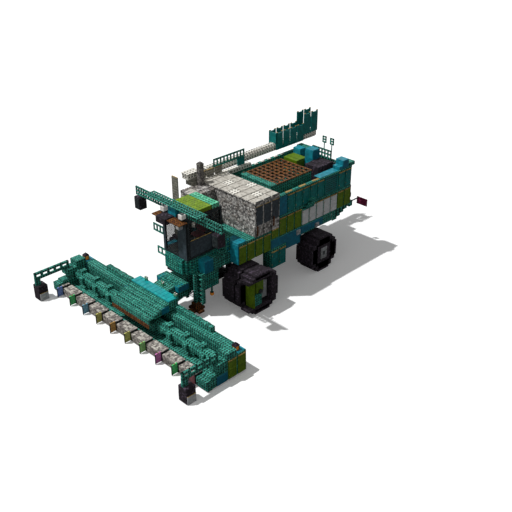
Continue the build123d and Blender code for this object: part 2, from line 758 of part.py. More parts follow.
# Ladder from the left side block down towards the ground, and guard rails behind the cab door's sweep
ladder_top_z = side_block_top_z - side_block_height
ladder_mid_x = cab_base_half_width + side_block_width - ladder_width / 2
with BuildPart() as ladder:
    for side_sign in (-1, 1):
        guard_x = side_sign * (cab_base_half_width + side_block_width - guard_thickness / 2)
        guard_plane = Plane(origin=(guard_x, (guard_front_y + hull_front_y) / 2,
                                    side_block_top_z + guard_height / 2), x_dir=(0, 1, 0), z_dir=(1, 0, 0))
        lattice_panel(guard_plane, hull_front_y - guard_front_y, guard_height, guard_thickness)
    ladder_y = side_block_front_y - ladder_step_depth / 2
    for side_sign in (-1, 1):
        rail_middle = ladder_mid_x + side_sign * (ladder_width - ladder_rail) / 2
        block(rail_middle - ladder_rail / 2, rail_middle + ladder_rail / 2, side_block_front_y - ladder_step_depth,
              side_block_front_y, ladder_bottom_z, side_block_top_z)
    rung_pitch = (ladder_top_z - ladder_bottom_z) / (ladder_steps - 1)
    for index in range(ladder_steps):
        rung_z = ladder_bottom_z + index * rung_pitch
        block(ladder_mid_x - ladder_width / 2, ladder_mid_x + ladder_width / 2,
              side_block_front_y - ladder_step_depth, side_block_front_y, rung_z, rung_z + ladder_step_thickness)
keep(ladder, "ladder")

# Chassis rails with cross members, ears for the lift pivot and a drawbar with its pin bore
with BuildPart() as chassis:
    for side_sign in (-1, 1):
        middle = side_sign * rail_x
        block(middle - rail_width / 2, middle + rail_width / 2, hull_front_y, rail_rear_y,
              hull_bottom_z - rail_height, hull_bottom_z)
        block(middle - rail_width / 2, middle + rail_width / 2, rail_front_y, hull_front_y,
              hull_bottom_z - rail_height, cab_base_bottom_z)
    for member_y in (front_axle_y, (front_axle_y + rear_axle_y) / 2, rear_axle_y):
        block(-rail_x, rail_x, member_y - cross_member_depth / 2, member_y + cross_member_depth / 2,
              hull_bottom_z - rail_height, hull_bottom_z)
    for side_sign in (-1, 1):
        ear_middle = side_sign * rail_x
        ear_bottom_z = lift_pivot_z - 2 * lift_pin_radius
        block(ear_middle - lift_ear_thickness / 2, ear_middle + lift_ear_thickness / 2,
              rail_front_y, lift_pivot_y + 2 * lift_pin_radius, ear_bottom_z, hull_bottom_z - rail_height)
        drum(lift_pin_radius, rail_width + cut_over,
             (ear_middle, lift_pivot_y, lift_pivot_z), "X", mode=Mode.SUBTRACT)
    block(-hitch_width / 2, hitch_width / 2, rear_axle_y, hitch_drop_y + hitch_reach,
          hitch_z - hitch_height / 2, hitch_z + hitch_height / 2)
    block(-hitch_width / 2, hitch_width / 2, rear_axle_y - cross_member_depth / 2,
          rear_axle_y + cross_member_depth / 2, hitch_z, hull_bottom_z)
    drum(hitch_bore_radius, hitch_height + cut_over, (0, hitch_drop_y + hitch_reach / 2, hitch_z), "Z",
         mode=Mode.SUBTRACT)
keep(chassis, "chassis")

# Front axle: a beam with two final drives, hung from the rails
drive_outer_x = front_wheel_inner_x - axle_running_gap
with BuildPart() as front_axle:
    block(-drive_outer_x + final_drive_width, drive_outer_x - final_drive_width, front_axle_y - axle_beam / 2,
          front_axle_y + axle_beam / 2, front_tyre_radius - axle_beam / 2, front_tyre_radius + axle_beam / 2)
    for side_sign in (-1, 1):
        drum(final_drive_radius, final_drive_width,
             (side_sign * (drive_outer_x - final_drive_width / 2), front_axle_y, front_tyre_radius), "X")
        drum(stub_radius, 2 * front_tyre_width,
             (side_sign * (drive_outer_x + front_tyre_width - axle_running_gap), front_axle_y,
              front_tyre_radius), "X")
        middle = side_sign * rail_x
        block(middle - rail_width / 2, middle + rail_width / 2, front_axle_y - axle_beam / 2,
              front_axle_y + axle_beam / 2, front_tyre_radius + axle_beam / 2, hull_bottom_z - rail_height)
    for side_sign in (-1, 1):
        foot_x = side_sign * lift_cylinder_x
        for cheek in (-1, 1):
            cheek_x = foot_x + cheek * (cylinder_eye_width / 2 + cylinder_gap + fork_arm / 4)
            block(cheek_x - fork_arm / 4, cheek_x + fork_arm / 4, cylinder_foot_y - cylinder_eye_radius,
                  front_axle_y - axle_beam / 2, cylinder_foot_z - cylinder_eye_radius,
                  cylinder_foot_z + cylinder_eye_radius)
        drum(cylinder_pin_radius, cylinder_eye_width + 2 * cylinder_gap,
             (foot_x, cylinder_foot_y, cylinder_foot_z), "X")
keep(front_axle, "front_axle")

# Front wheels: twin stepped tyres on one deep rim
front_width = 2 * front_tyre_width + dual_gap
for side_name, side_sign in (("left", 1), ("right", -1)):
    inner_x = side_sign * front_wheel_inner_x
    with BuildPart() as front_tyre:
        for start in (front_wheel_inner_x, front_wheel_inner_x + front_tyre_width + dual_gap):
            plane = Plane(origin=(side_sign * start, front_axle_y, front_tyre_radius), x_dir=(0, 1, 0),
                          z_dir=(side_sign, 0, 0))
            slab(stepped_disc(front_tyre_radius, front_tyre_flat), plane, front_tyre_width)
        drum(front_rim_radius, 2 * front_width, (inner_x + side_sign * front_width / 2, front_axle_y,
                                                 front_tyre_radius), "X", mode=Mode.SUBTRACT)
    keep(front_tyre, f"front_tyre_{side_name}")
    with BuildPart() as front_rim:
        middle_x = inner_x + side_sign * front_width / 2
        drum(front_rim_radius - seat / 2, front_width, (middle_x, front_axle_y, front_tyre_radius), "X")
        recess_x = inner_x + side_sign * (front_width - front_rim_recess / 2)
        drum(front_rim_radius - spoke_width / 2, front_rim_recess,
             (recess_x, front_axle_y, front_tyre_radius), "X", mode=Mode.SUBTRACT)
        hub_x = inner_x + side_sign * (front_width - front_rim_recess + front_hub_length / 2)
        drum(front_hub_radius, front_hub_length, (hub_x, front_axle_y, front_tyre_radius), "X")
        bore_x = side_sign * (drive_outer_x + front_tyre_width)
        drum(stub_radius + stub_clearance, 2 * front_tyre_width + front_hub_radius,
             (bore_x - side_sign * front_hub_radius / 2, front_axle_y, front_tyre_radius), "X",
             mode=Mode.SUBTRACT)
    keep(front_rim, f"front_rim_{side_name}")

# Rear axle: a beam with a fork at each end, on two posts
fork_half_height = knuckle_height / 2 + fork_gap + fork_arm
with BuildPart() as rear_axle:
    beam_end = kingpin_x - math.hypot(knuckle_width, knuckle_depth) / 2 - fork_gap
    block(-beam_end, beam_end, rear_axle_y - rear_beam / 2, rear_axle_y + rear_beam / 2,
          rear_tyre_radius - rear_beam / 2, rear_tyre_radius + rear_beam / 2)
    for side_sign in (-1, 1):
        middle = side_sign * rail_x
        block(middle - rail_width / 2, middle + rail_width / 2, rear_axle_y - rear_beam / 2,
              rear_axle_y + rear_beam / 2, rear_tyre_radius + rear_beam / 2, hull_bottom_z - rail_height)
        root_x = side_sign * (beam_end - fork_arm)
        block(min(root_x, side_sign * beam_end), max(root_x, side_sign * beam_end),
              rear_axle_y - rear_beam / 2, rear_axle_y + rear_beam / 2,
              rear_tyre_radius - fork_half_height, rear_tyre_radius + fork_half_height)
        for level in (-1, 1):
            near = rear_tyre_radius + level * (knuckle_height / 2 + fork_gap)
            far = rear_tyre_radius + level * fork_half_height
            tip_x = side_sign * (kingpin_x + kingpin_radius + fork_arm / 4)
            block(min(root_x, tip_x), max(root_x, tip_x), rear_axle_y - kingpin_radius - fork_arm / 4,
                  rear_axle_y + kingpin_radius + fork_arm / 4, min(near, far), max(near, far))
        drum(kingpin_radius, 2 * fork_half_height, (side_sign * kingpin_x, rear_axle_y, rear_tyre_radius), "Z")
keep(rear_axle, "rear_axle")

# Steering knuckles and rear wheels
for side_name, side_sign in (("left", 1), ("right", -1)):
    with BuildPart() as knuckle:
        block(side_sign * kingpin_x - knuckle_width / 2, side_sign * kingpin_x + knuckle_width / 2,
              rear_axle_y - knuckle_depth / 2, rear_axle_y + knuckle_depth / 2,
              rear_tyre_radius - knuckle_height / 2, rear_tyre_radius + knuckle_height / 2)
        stub_start = kingpin_x + knuckle_width / 2
        stub_end = rear_wheel_inner_x + rear_tyre_width - rear_rim_recess
        drum(stub_radius, stub_end - stub_start,
             (side_sign * (stub_start + stub_end) / 2, rear_axle_y, rear_tyre_radius), "X")
        block(side_sign * kingpin_x - fork_arm / 2, side_sign * kingpin_x + fork_arm / 2,
              rear_axle_y, rear_axle_y + steer_arm_length, rear_tyre_radius - fork_arm / 2,
              rear_tyre_radius + fork_arm / 2)
        drum(kingpin_radius + stub_clearance, knuckle_height + cut_over,
             (side_sign * kingpin_x, rear_axle_y, rear_tyre_radius), "Z", mode=Mode.SUBTRACT)
    keep(knuckle, f"knuckle_{side_name}")
    inner_x = side_sign * rear_wheel_inner_x
    with BuildPart() as rear_tyre:
        plane = Plane(origin=(inner_x, rear_axle_y, rear_tyre_radius), x_dir=(0, 1, 0), z_dir=(side_sign, 0, 0))
        slab(stepped_disc(rear_tyre_radius, rear_tyre_flat), plane, rear_tyre_width)
        drum(rear_rim_radius, 2 * rear_tyre_width, (inner_x + side_sign * rear_tyre_width / 2, rear_axle_y,
                                                    rear_tyre_radius), "X", mode=Mode.SUBTRACT)
    keep(rear_tyre, f"rear_tyre_{side_name}")
    with BuildPart() as rear_rim:
        drum(rear_rim_radius - seat / 2, rear_tyre_width,
             (inner_x + side_sign * rear_tyre_width / 2, rear_axle_y, rear_tyre_radius), "X")
        recess_x = inner_x + side_sign * (rear_tyre_width - rear_rim_recess / 2)
        drum(rear_rim_radius - spoke_width / 2, rear_rim_recess,
             (recess_x, rear_axle_y, rear_tyre_radius), "X", mode=Mode.SUBTRACT)
        hub_x = inner_x + side_sign * (rear_tyre_width - rear_rim_recess + rear_hub_length / 2)
        drum(rear_hub_radius, rear_hub_length, (hub_x, rear_axle_y, rear_tyre_radius), "X")
        bore_length = stub_end - rear_wheel_inner_x
        drum(stub_radius + stub_clearance, bore_length + cut_over,
             (side_sign * (rear_wheel_inner_x + (bore_length - cut_over) / 2), rear_axle_y, rear_tyre_radius),
             "X", mode=Mode.SUBTRACT)
    keep(rear_rim, f"rear_rim_{side_name}")

# Feeder house: a tapering channel with stepped ribs on top and pins at its rear
feeder_front_bottom_z = feeder_front_top_z - feeder_front_height
with BuildPart() as feeder:
    feeder_side = [(lift_pivot_y + lift_pin_radius * 2, lift_pivot_z + lift_pin_radius * 2),
                   (header_rear_y + feeder_seat_gap, feeder_front_top_z),
                   (header_rear_y + feeder_seat_gap, feeder_front_bottom_z),
                   (lift_pivot_y + lift_pin_radius * 2, lift_pivot_z + lift_pin_radius * 2 - feeder_rear_height)]
    slab(feeder_side, Plane.YZ, feeder_half_width, both=True)
    block(feeder_wall - feeder_half_width, feeder_half_width - feeder_wall, header_rear_y - cut_over,
          header_rear_y + mouth_depth, mouth_bottom_z, mouth_bottom_z + mouth_height, mode=Mode.SUBTRACT)
    for side_sign in (-1, 1):
        pin_end = rail_x + lift_ear_thickness / 2
        drum(lift_pin_radius - lift_pin_clearance, pin_end - feeder_half_width + cut_over,
             (side_sign * (feeder_half_width + pin_end - cut_over) / 2, lift_pivot_y, lift_pivot_z), "X")
        for cheek in (-1, 1):
            cheek_x = side_sign * lift_cylinder_x + cheek * (cylinder_eye_width / 2 + cylinder_gap + fork_arm / 4)
            block(cheek_x - fork_arm / 4, cheek_x + fork_arm / 4, cylinder_head_y - cylinder_eye_radius,
                  cylinder_head_y + cylinder_eye_radius, cylinder_head_z - cylinder_eye_radius,
                  feeder_front_top_z - feeder_front_height / 2)
keep(feeder, "feeder")

# Lift cylinders, opened at the rod's eye
cylinder_run = math.hypot(cylinder_head_y - cylinder_foot_y, cylinder_head_z - cylinder_foot_z)
cylinder_dir = (0, (cylinder_head_y - cylinder_foot_y) / cylinder_run,
                (cylinder_head_z - cylinder_foot_z) / cylinder_run)
foot_planes = [Plane(origin=(side_sign * lift_cylinder_x, cylinder_foot_y, cylinder_foot_z), x_dir=(1, 0, 0),
                     z_dir=cylinder_dir) for side_sign in (-1, 1)]
with BuildPart() as lift_barrels:
    for foot in foot_planes:
        with BuildSketch(foot):
            Circle(cylinder_eye_width / 2)
        extrude(amount=cylinder_neck)
        with BuildSketch(foot.offset(cylinder_neck)):
            Circle(cylinder_radius)
        extrude(amount=cylinder_length - cylinder_neck)
        with Locations(Location(foot.origin, (0, 90, 0))):
            Cylinder(cylinder_eye_radius, cylinder_eye_width)
            Cylinder(cylinder_pin_radius + stub_clearance, cylinder_eye_width + cut_over, mode=Mode.SUBTRACT)
        with BuildSketch(foot.offset(cylinder_length)):
            Circle(cylinder_rod_radius + stub_clearance)
        extrude(amount=cylinder_neck - cylinder_length, mode=Mode.SUBTRACT)
keep(lift_barrels, "lift_barrels")

with BuildPart() as lift_rods:
    for foot in foot_planes:
        rod_start = 2 * cylinder_neck
        with BuildSketch(foot.offset(rod_start)):
            Circle(cylinder_rod_radius)
        extrude(amount=cylinder_run - rod_start)
        head = foot.offset(cylinder_run)
        with Locations(Location(head.origin, (0, 90, 0))):
            Cylinder(cylinder_eye_radius, cylinder_eye_width)
keep(lift_rods, "lift_rods")

# Header frame: stepped back wall, ramp floor and stepped end plates
header_wall_front_y = header_rear_y - header_wall_thickness
with BuildPart() as header_frame:
    inner_half = header_half_width - header_end_width
    trough = [(header_rear_y, header_floor_z), (header_rear_y, header_top_z),
              (header_wall_front_y, header_top_z),
              (header_wall_front_y, header_ramp_z - header_floor_thickness),
              (header_floor_front_y, header_floor_z + header_floor_thickness),
              (header_floor_front_y, header_floor_z)]
    slab(trough, Plane.YZ, inner_half, both=True)
    crest_half = header_crest_half_width
    block(-crest_half, crest_half, header_wall_front_y, header_rear_y, header_top_z,
          header_top_z + header_crest_height)
    for side_sign in (-1, 1):
        start = side_sign * inner_half
        end_side = [(header_rear_y, header_floor_z), (header_rear_y, header_top_z),
                    (end_plate_mid_y, header_top_z), (end_plate_mid_y, end_plate_low_z),
                    (end_plate_front_y, end_plate_low_z), (end_plate_front_y, header_floor_z)]
        plane = Plane(origin=(start, 0, 0), x_dir=(0, side_sign, 0), z_dir=(side_sign, 0, 0))
        slab([(side_sign * y, z) for y, z in end_side], plane, header_end_width)
        drum(auger_stub_radius + stub_clearance, header_end_width + cut_over,
             (start, auger_y, auger_z), "X", mode=Mode.SUBTRACT)
        outer = side_sign * header_half_width
        block(min(start, outer), max(start, outer), end_plate_mid_y, end_plate_mid_y + header_end_width,
              header_top_z, header_top_z + end_block_height)
    mouth_half = feeder_half_width - feeder_wall
    block(-mouth_half, mouth_half, header_wall_front_y - header_wall_thickness, header_rear_y + cut_over,
          mouth_bottom_z, mouth_bottom_z + mouth_height, mode=Mode.SUBTRACT)
keep(header_frame, "header_frame")

# Crop auger: a tube with stepped flights that run opposite ways on each half
auger_half_length = inner_half - auger_end_gap
with BuildPart() as crop_auger:
    tube_plane = Plane(origin=(-auger_half_length, auger_y, auger_z), x_dir=(0, 1, 0), z_dir=(1, 0, 0))
    slab(stepped_disc(auger_tube_radius, auger_tube_radius / 2), tube_plane, 2 * auger_half_length)
    drum(auger_stub_radius, 2 * (inner_half + header_end_width / 2), (0, auger_y, auger_z), "X")
    for side_sign in (-1, 1):
        for index in range(auger_flights):
            for quarter in range(4):
                middle = side_sign * (auger_flight_first_x + index * auger_flight_pitch
                                      + quarter * auger_flight_pitch / 4)
                turn = 90 * quarter
                with Locations(Location((middle, auger_y, auger_z), (turn * side_sign, 0, 0))):
                    with Locations((0, auger_flight_radius / 2, 0)):
                        Box(auger_flight_width, auger_flight_radius, auger_flight_thickness)
keep(crop_auger, "crop_auger")

# Hood over the middle of the trough, in steps, with side cheeks
with BuildPart() as header_hood:
    step_depth = (header_rear_y - hood_strip_depth - hood_front_y) / hood_steps
    step_drop = (hood_top_z - hood_underside_z) / (hood_steps + 1)
    stairs = [(header_rear_y, hood_underside_z), (header_rear_y, hood_top_z),
              (header_rear_y - hood_strip_depth, hood_top_z)]
    for index in range(hood_steps):
        level = hood_top_z - (index + 1) * step_drop
        start = header_rear_y - hood_strip_depth - index * step_depth
        stairs += [(start, level), (start - step_depth, level)]
    stairs += [(hood_front_y, hood_underside_z)]
    slab(stairs, Plane.YZ, hood_half_width, both=True)
    block(-hood_half_width, hood_half_width, header_wall_front_y - seat, header_rear_y + cut_over,
          hood_underside_z - cut_over, header_top_z + header_crest_height + seat, mode=Mode.SUBTRACT)
    block(-hood_half_width, hood_half_width, header_rear_y - hood_strip_depth, header_rear_y,
          hood_top_z, hood_top_z + hood_strip_height)
    block(-hood_half_width, hood_half_width, hood_front_y - lip_thickness, hood_front_y,
          hood_underside_z - lip_height, hood_underside_z + step_drop)
keep(header_hood, "header_hood")

# Cutter bar: gravel-faced segments, parted by gaps, with dark guard posts between the dividers
with BuildPart() as cutter_bar:
    block(-inner_half, inner_half, header_floor_front_y - cutter_segment_gap * 2, header_floor_front_y,
          cutter_bar_bottom_z, cutter_bar_bottom_z + cutter_bar_height / 2)
    with Locations((0, (cutter_bar_front_y + header_floor_front_y) / 2, cutter_bar_bottom_z
                    + cutter_bar_height / 2)):
        with GridLocations(divider_pitch, divider_pitch, divider_count - 1, 1):
            Box(divider_pitch - guard_post_width - cutter_segment_gap * 2, header_floor_front_y
                - cutter_bar_front_y, cutter_bar_height)
    post_depth = header_floor_front_y - cutter_segment_gap * 2 - cutter_bar_front_y
    with Locations((0, cutter_bar_front_y + post_depth / 2, cutter_bar_bottom_z + guard_post_height / 2)):
        with GridLocations(divider_pitch, divider_pitch, divider_count, 1):
            Box(guard_post_width, post_depth, guard_post_height)
keep(cutter_bar, "cutter_bar")

with BuildPart() as crop_dividers:
    with Locations((0, cutter_bar_front_y - divider_length / 2, divider_bottom_z + divider_height / 2)):
        with GridLocations(divider_pitch, divider_pitch, divider_count, 1):
            Box(divider_thickness, divider_length, divider_height)
keep(crop_dividers, "crop_dividers")

# Header end panels and caps
with BuildPart() as header_end_panels:
    for side_sign in (-1, 1):
        inner = side_sign * header_half_width
        outer = side_sign * (header_half_width + panel_thickness)
        for index in range(2):
            start = header_rear_y - (index + 1) * panel_pitch + panel_inset
            block(min(inner, outer), max(inner, outer), start, start + panel_width,
                  header_top_z - end_cap_height - panel_height, header_top_z - end_cap_height)
keep(header_end_panels, "header_end_panels")

# Outrigger arms, shoes and skid plates ahead of both ends
arm_length = end_plate_mid_y - outrigger_tip_y
with BuildPart() as outrigger_arms:
    for side_sign in (-1, 1):
        arm_x = side_sign * outrigger_x
        arm_plane = Plane(origin=(arm_x, outrigger_tip_y + arm_length / 2, outrigger_arm_bottom_z
                                  + outrigger_arm_height / 2), x_dir=(0, 1, 0), z_dir=(1, 0, 0))
        lattice_panel(arm_plane, arm_length, outrigger_arm_height, outrigger_arm_thickness)
        block(arm_x - outrigger_arm_thickness / 2, arm_x + outrigger_arm_thickness / 2, outrigger_tip_y,
              outrigger_tip_y + outrigger_arm_thickness * 2, outrigger_shoe_height, outrigger_arm_bottom_z)
keep(outrigger_arms, "outrigger_arms")

with BuildPart() as outrigger_shoes:
    for side_sign in (-1, 1):
        arm_x = side_sign * outrigger_x
        block(arm_x - outrigger_shoe_width / 2, arm_x + outrigger_shoe_width / 2, outrigger_tip_y,
              outrigger_tip_y + outrigger_shoe_length, 0, outrigger_shoe_height)
        for face_sign in (-1, 1):
            inner = side_sign * outrigger_x + face_sign * outrigger_shoe_width / 2
            outer = inner + face_sign * outrigger_skid_thickness
            middle_y = outrigger_tip_y + outrigger_shoe_length / 2
            block(min(inner, outer), max(inner, outer), middle_y - outrigger_skid_width / 2,
                  middle_y + outrigger_skid_width / 2, 0, outrigger_skid_height)
keep(outrigger_shoes, "outrigger_shoes")

# Lanterns on the back wall's ends
with BuildPart() as lanterns:
    for side_sign in (-1, 1):
        block(side_sign * outrigger_x - lantern_width / 2, side_sign * outrigger_x + lantern_width / 2,
              lantern_y - lantern_width / 2, lantern_y + lantern_width / 2, header_top_z,
              header_top_z + lantern_height)
        cap_z = header_top_z + lantern_height
        with BuildSketch(Plane.XY.offset(cap_z)) as low:
            with Locations((side_sign * outrigger_x, lantern_y)):
                Rectangle(lantern_width, lantern_width)
        extrude(amount=lantern_cap_height, taper=lantern_cap_taper)
keep(lanterns, "lanterns")

# Unloading auger: a fixed post with a collar, and the swinging tube
post_top_z = unload_axis_z - unload_radius - unload_post_gap
tube_radius = unload_radius - unload_post_gap
with BuildPart() as unload_post:
    drum(unload_post_radius, post_top_z - deck_z, (unload_x, unload_pivot_y, (deck_z + post_top_z) / 2), "Z")
    block(unload_x, -tank_half_width, unload_pivot_y - unload_post_radius, unload_pivot_y + unload_post_radius,
          deck_z, deck_z + unload_post_radius)
    block(unload_x, -tank_half_width, unload_pivot_y - unload_post_radius / 2, unload_pivot_y
          + unload_post_radius / 2, post_top_z - 2 * unload_collar_height, post_top_z - unload_collar_height)
    drum(stub_radius, unload_radius, (unload_x, unload_pivot_y, post_top_z), "Z")
keep(unload_post, "unload_post")

with BuildPart() as unload_tube:
    drum(unload_elbow_radius, 2 * unload_radius, (unload_x, unload_pivot_y, unload_axis_z), "Z")
    tube_face = Plane(origin=(unload_x, unload_pivot_y, unload_axis_z), x_dir=(-1, 0, 0), z_dir=(0, 1, 0))
    slab(stepped_disc(tube_radius, tube_radius / 2), tube_face, unload_bare_length
         + unload_hood_length + unload_spout_length)
    drum(stub_radius + stub_clearance, unload_radius,
         (unload_x, unload_pivot_y, unload_axis_z - unload_radius), "Z", mode=Mode.SUBTRACT)
keep(unload_tube, "unload_tube")

# Hood panels along the tube's outer half and the raised spout
hood_start_y = unload_pivot_y + unload_bare_length
spout_start_y = hood_start_y + unload_hood_length
with BuildPart() as unload_hood:
    for side_sign in (-1, 1):
        inner = unload_x + side_sign * (unload_hood_half_width - unload_shell)
        outer = unload_x + side_sign * unload_hood_half_width
        block(min(inner, outer), max(inner, outer), hood_start_y, spout_start_y, unload_hood_bottom_z,
              unload_hood_top_z)
        block(min(inner, outer), max(inner, outer), spout_start_y, spout_start_y + unload_spout_length,
              unload_hood_bottom_z + unload_spout_drop, unload_hood_top_z + unload_spout_rise)
    block(unload_x - unload_hood_half_width, unload_x + unload_hood_half_width, hood_start_y,
          hood_start_y + unload_shell, unload_axis_z + tube_radius, unload_hood_top_z)
    block(unload_x - unload_hood_half_width, unload_x + unload_hood_half_width,
          spout_start_y + unload_spout_length - unload_shell, spout_start_y + unload_spout_length,
          unload_axis_z + tube_radius, unload_hood_top_z)
keep(unload_hood, "unload_hood")

# Engine block, air box, radiator screen and rear caps on the deck
with BuildPart() as engine_block:
    block(-engine_half_width, engine_half_width, engine_y, engine_y + engine_length, bay_floor_z,
          bay_floor_z + engine_height)
    block(air_box_x - air_box_width, air_box_x, air_box_y, air_box_y + air_box_length,
          bay_floor_z, bay_floor_z + air_box_height)
keep(engine_block, "engine_block")

with BuildPart() as radiator_screen:
    screen_plane = Plane(origin=(0, screen_y, bay_floor_z + screen_height / 2), x_dir=(1, 0, 0),
                         z_dir=(0, -1, 0))
    lattice_panel(screen_plane, 2 * screen_half_width, screen_height, screen_thickness)
keep(radiator_screen, "radiator_screen")

# Width marker on an arm behind the left corner
with BuildPart() as marker:
    block(marker_x - marker_arm_section / 2, marker_x + marker_arm_section / 2, hull_rear_y,
          hull_rear_y + marker_arm, marker_z, marker_z + marker_arm_section)
    marker_plane = Plane(origin=(marker_x, hull_rear_y + marker_arm + marker_thickness / 2,
                                 marker_z + marker_arm_section / 2), x_dir=(1, 0, 0), z_dir=(0, -1, 0))
    lattice_panel(marker_plane, marker_width, marker_height, marker_thickness)
keep(marker, "marker")

# Support leg under the cab with its foot pad
with BuildPart() as support_leg:
    leg_bottom_z = foot_clearance + foot_thickness
    block(leg_x + leg_width, leg_x + 2 * leg_width, leg_y - leg_width / 2, leg_y + leg_width / 2,
          leg_bottom_z, cab_base_bottom_z)
    foot_x = leg_x + 1.5 * leg_width
    block(foot_x - foot_width / 2, foot_x + foot_width / 2, leg_y - foot_width / 6, leg_y + foot_width / 6,
          foot_clearance, leg_bottom_z)
    block(foot_x - foot_width / 6, foot_x + foot_width / 6, leg_y - foot_width / 2, leg_y + foot_width / 2,
          foot_clearance, leg_bottom_z)
keep(support_leg, "support_leg")

os.makedirs("parts", exist_ok=True)
for part in made:
    export_step(part, f"parts/{part.label}.step")
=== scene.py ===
import logging
import math
import random
from dataclasses import dataclass
from enum import Enum
from functools import lru_cache, partial
from typing import Optional, Sequence

import bmesh
import bpy
from mathutils import Matrix, Vector


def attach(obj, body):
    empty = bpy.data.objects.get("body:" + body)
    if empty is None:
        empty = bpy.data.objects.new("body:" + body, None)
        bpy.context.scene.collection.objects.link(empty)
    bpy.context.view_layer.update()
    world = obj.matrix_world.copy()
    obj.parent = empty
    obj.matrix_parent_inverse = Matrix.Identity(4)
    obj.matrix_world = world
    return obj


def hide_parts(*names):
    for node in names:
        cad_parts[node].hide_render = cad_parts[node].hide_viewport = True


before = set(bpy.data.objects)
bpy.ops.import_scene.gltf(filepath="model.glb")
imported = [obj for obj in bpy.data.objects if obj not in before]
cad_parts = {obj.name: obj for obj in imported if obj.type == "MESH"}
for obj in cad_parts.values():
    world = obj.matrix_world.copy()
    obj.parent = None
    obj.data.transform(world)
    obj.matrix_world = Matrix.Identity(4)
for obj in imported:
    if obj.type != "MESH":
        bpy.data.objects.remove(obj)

log = logging.getLogger("harvester")

BLOCK = 0.44  # edge of the machine's building block, in metres
FRONT_ROW = 3.0  # blocks from the frame's origin forward to the body's front face
GROUND_ROW = 5.0  # blocks from the ground up to the body's first panel row
LEFT = (1,)
SIDES = (-1, 1)
UNDER_SURFACE = 0.009  # how far under a face its pattern is read, in metres
CLOUD_SCALE = 1.3  # wide clouds of dust and handling, per metre
CLOUD_DETAIL = 3.0
CLOUD_SHARE = 0.22  # how much the clouds shift the cells' colours
CLOUD_RANGE = (0.3, 0.7)  # the clouds' values between which the gloss changes
SMOOTHER = 0.08  # how far the gloss strays to each side of a finish's roughness
ROUGHER = 0.1
SMOOTHEST = 0.02
BUMP_STRENGTH = 0.5
DARK_FROM = 0.08  # the mottle's value up to which the dark colour shows
LEVEL_FROM = 0.7  # how far up or down a face looks where boards count as level
JOINT_SHARE = 0.2  # a joint's part of a board's width
JOINT_DARK = 0.45
PLUG_DARK = 0.1
BOARD_TINT = (0.86, 1.12)  # the darkest and the lightest board
GLASS_ALPHA = 0.3
LENS_GLOW = 0.12
CROSS_INSET = 0.08  # how far a lattice's crossing bars sit back, of its thickness
WHITE = (1.0, 1.0, 1.0, 1.0)
Span = tuple[float, float]
Spot = tuple[float, float, float]
Row = tuple[float, ...]


def linear(code: str) -> tuple[float, float, float, float]:
    """Turns a colour written as sRGB hex into linear values.

    Args:
        code: six hex digits.

    Returns:
        Linear red, green, blue and an alpha of 1.
    """
    parts = [int(code[i:i + 2], 16) / 255 for i in (0, 2, 4)]
    bright = [c / 12.92 if c <= 0.04045 else ((c + 0.055) / 1.055) ** 2.4 for c in parts]
    return (bright[0], bright[1], bright[2], 1.0)


def shade(code: str, factor: float) -> str:
    """Makes a colour written as sRGB hex darker or lighter.

    Args:
        code: six hex digits.
        factor: what each channel is multiplied by.

    Returns:
        The new colour as six hex digits.
    """
    parts = [int(code[i:i + 2], 16) for i in (0, 2, 4)]
    return "".join(f"{min(255, round(part * factor)):02x}" for part in parts)


class Pattern(Enum):
    """How a finish varies over its surface."""

    PLANK = "boards with dark joints"
    FLECK = "flecks of one size"
    GLASS = "tinted sheet"
    LAMP = "lens that glows a little"


@dataclass(frozen=True)
class Finish:
    """A surface as it was made: its colours, the size of its mottling and its gloss."""

    name: str
    dark: str
    body: str
    light: str
    pattern: Pattern = Pattern.FLECK
    grain_mm: float = 55.0  # edge of one cell of the mottle, drawn coarse to show from afar
    board_mm: float = 110.0
    rough: float = 0.6
    metallic: float = 0.0
    specular: float = 0.25
    relief_mm: float = 2.0
    balance: Span = (0.35, 0.85)  # the light colour starts at the second, the body's is midway
    stud_mm: float = 0.0  # distance between round plugs or studs, none at 0
    stud: float = 0.27  # their radius, of that distance


# Softwood boards stained teal, sawn and brushed, with dark plugs over the screws: a busy dark grid
TEAL_BOARD = Finish("stained_board_teal", "27756a", "3a9e8b", "5cc6b0", Pattern.PLANK,
                    relief_mm=5.0, rough=0.7, stud_mm=110, stud=0.34)
# The same stain, fresher, on the cab's nose and rails: brighter, with finer plugs
BRIGHT_BOARD = Finish("stained_board_bright", "12665f", "24988a", "4fc2a8", Pattern.PLANK,
                      relief_mm=4.0, stud_mm=110, stud=0.3)
# Hardwood slats, sawn and oiled: warm brown with dark joints
BROWN_BOARD = Finish("oiled_board_brown", "4a240c", "6b3d14", "8a5a24", Pattern.PLANK,
                     grain_mm=60, rough=0.65, stud_mm=110)
# Softwood board left to the weather, sawn: dry and grey, with soft joints
GREY_BOARD = Finish("weathered_board_grey", "77756c", "8a887e", "9c9a8e", Pattern.PLANK,
                    grain_mm=60, rough=0.8)
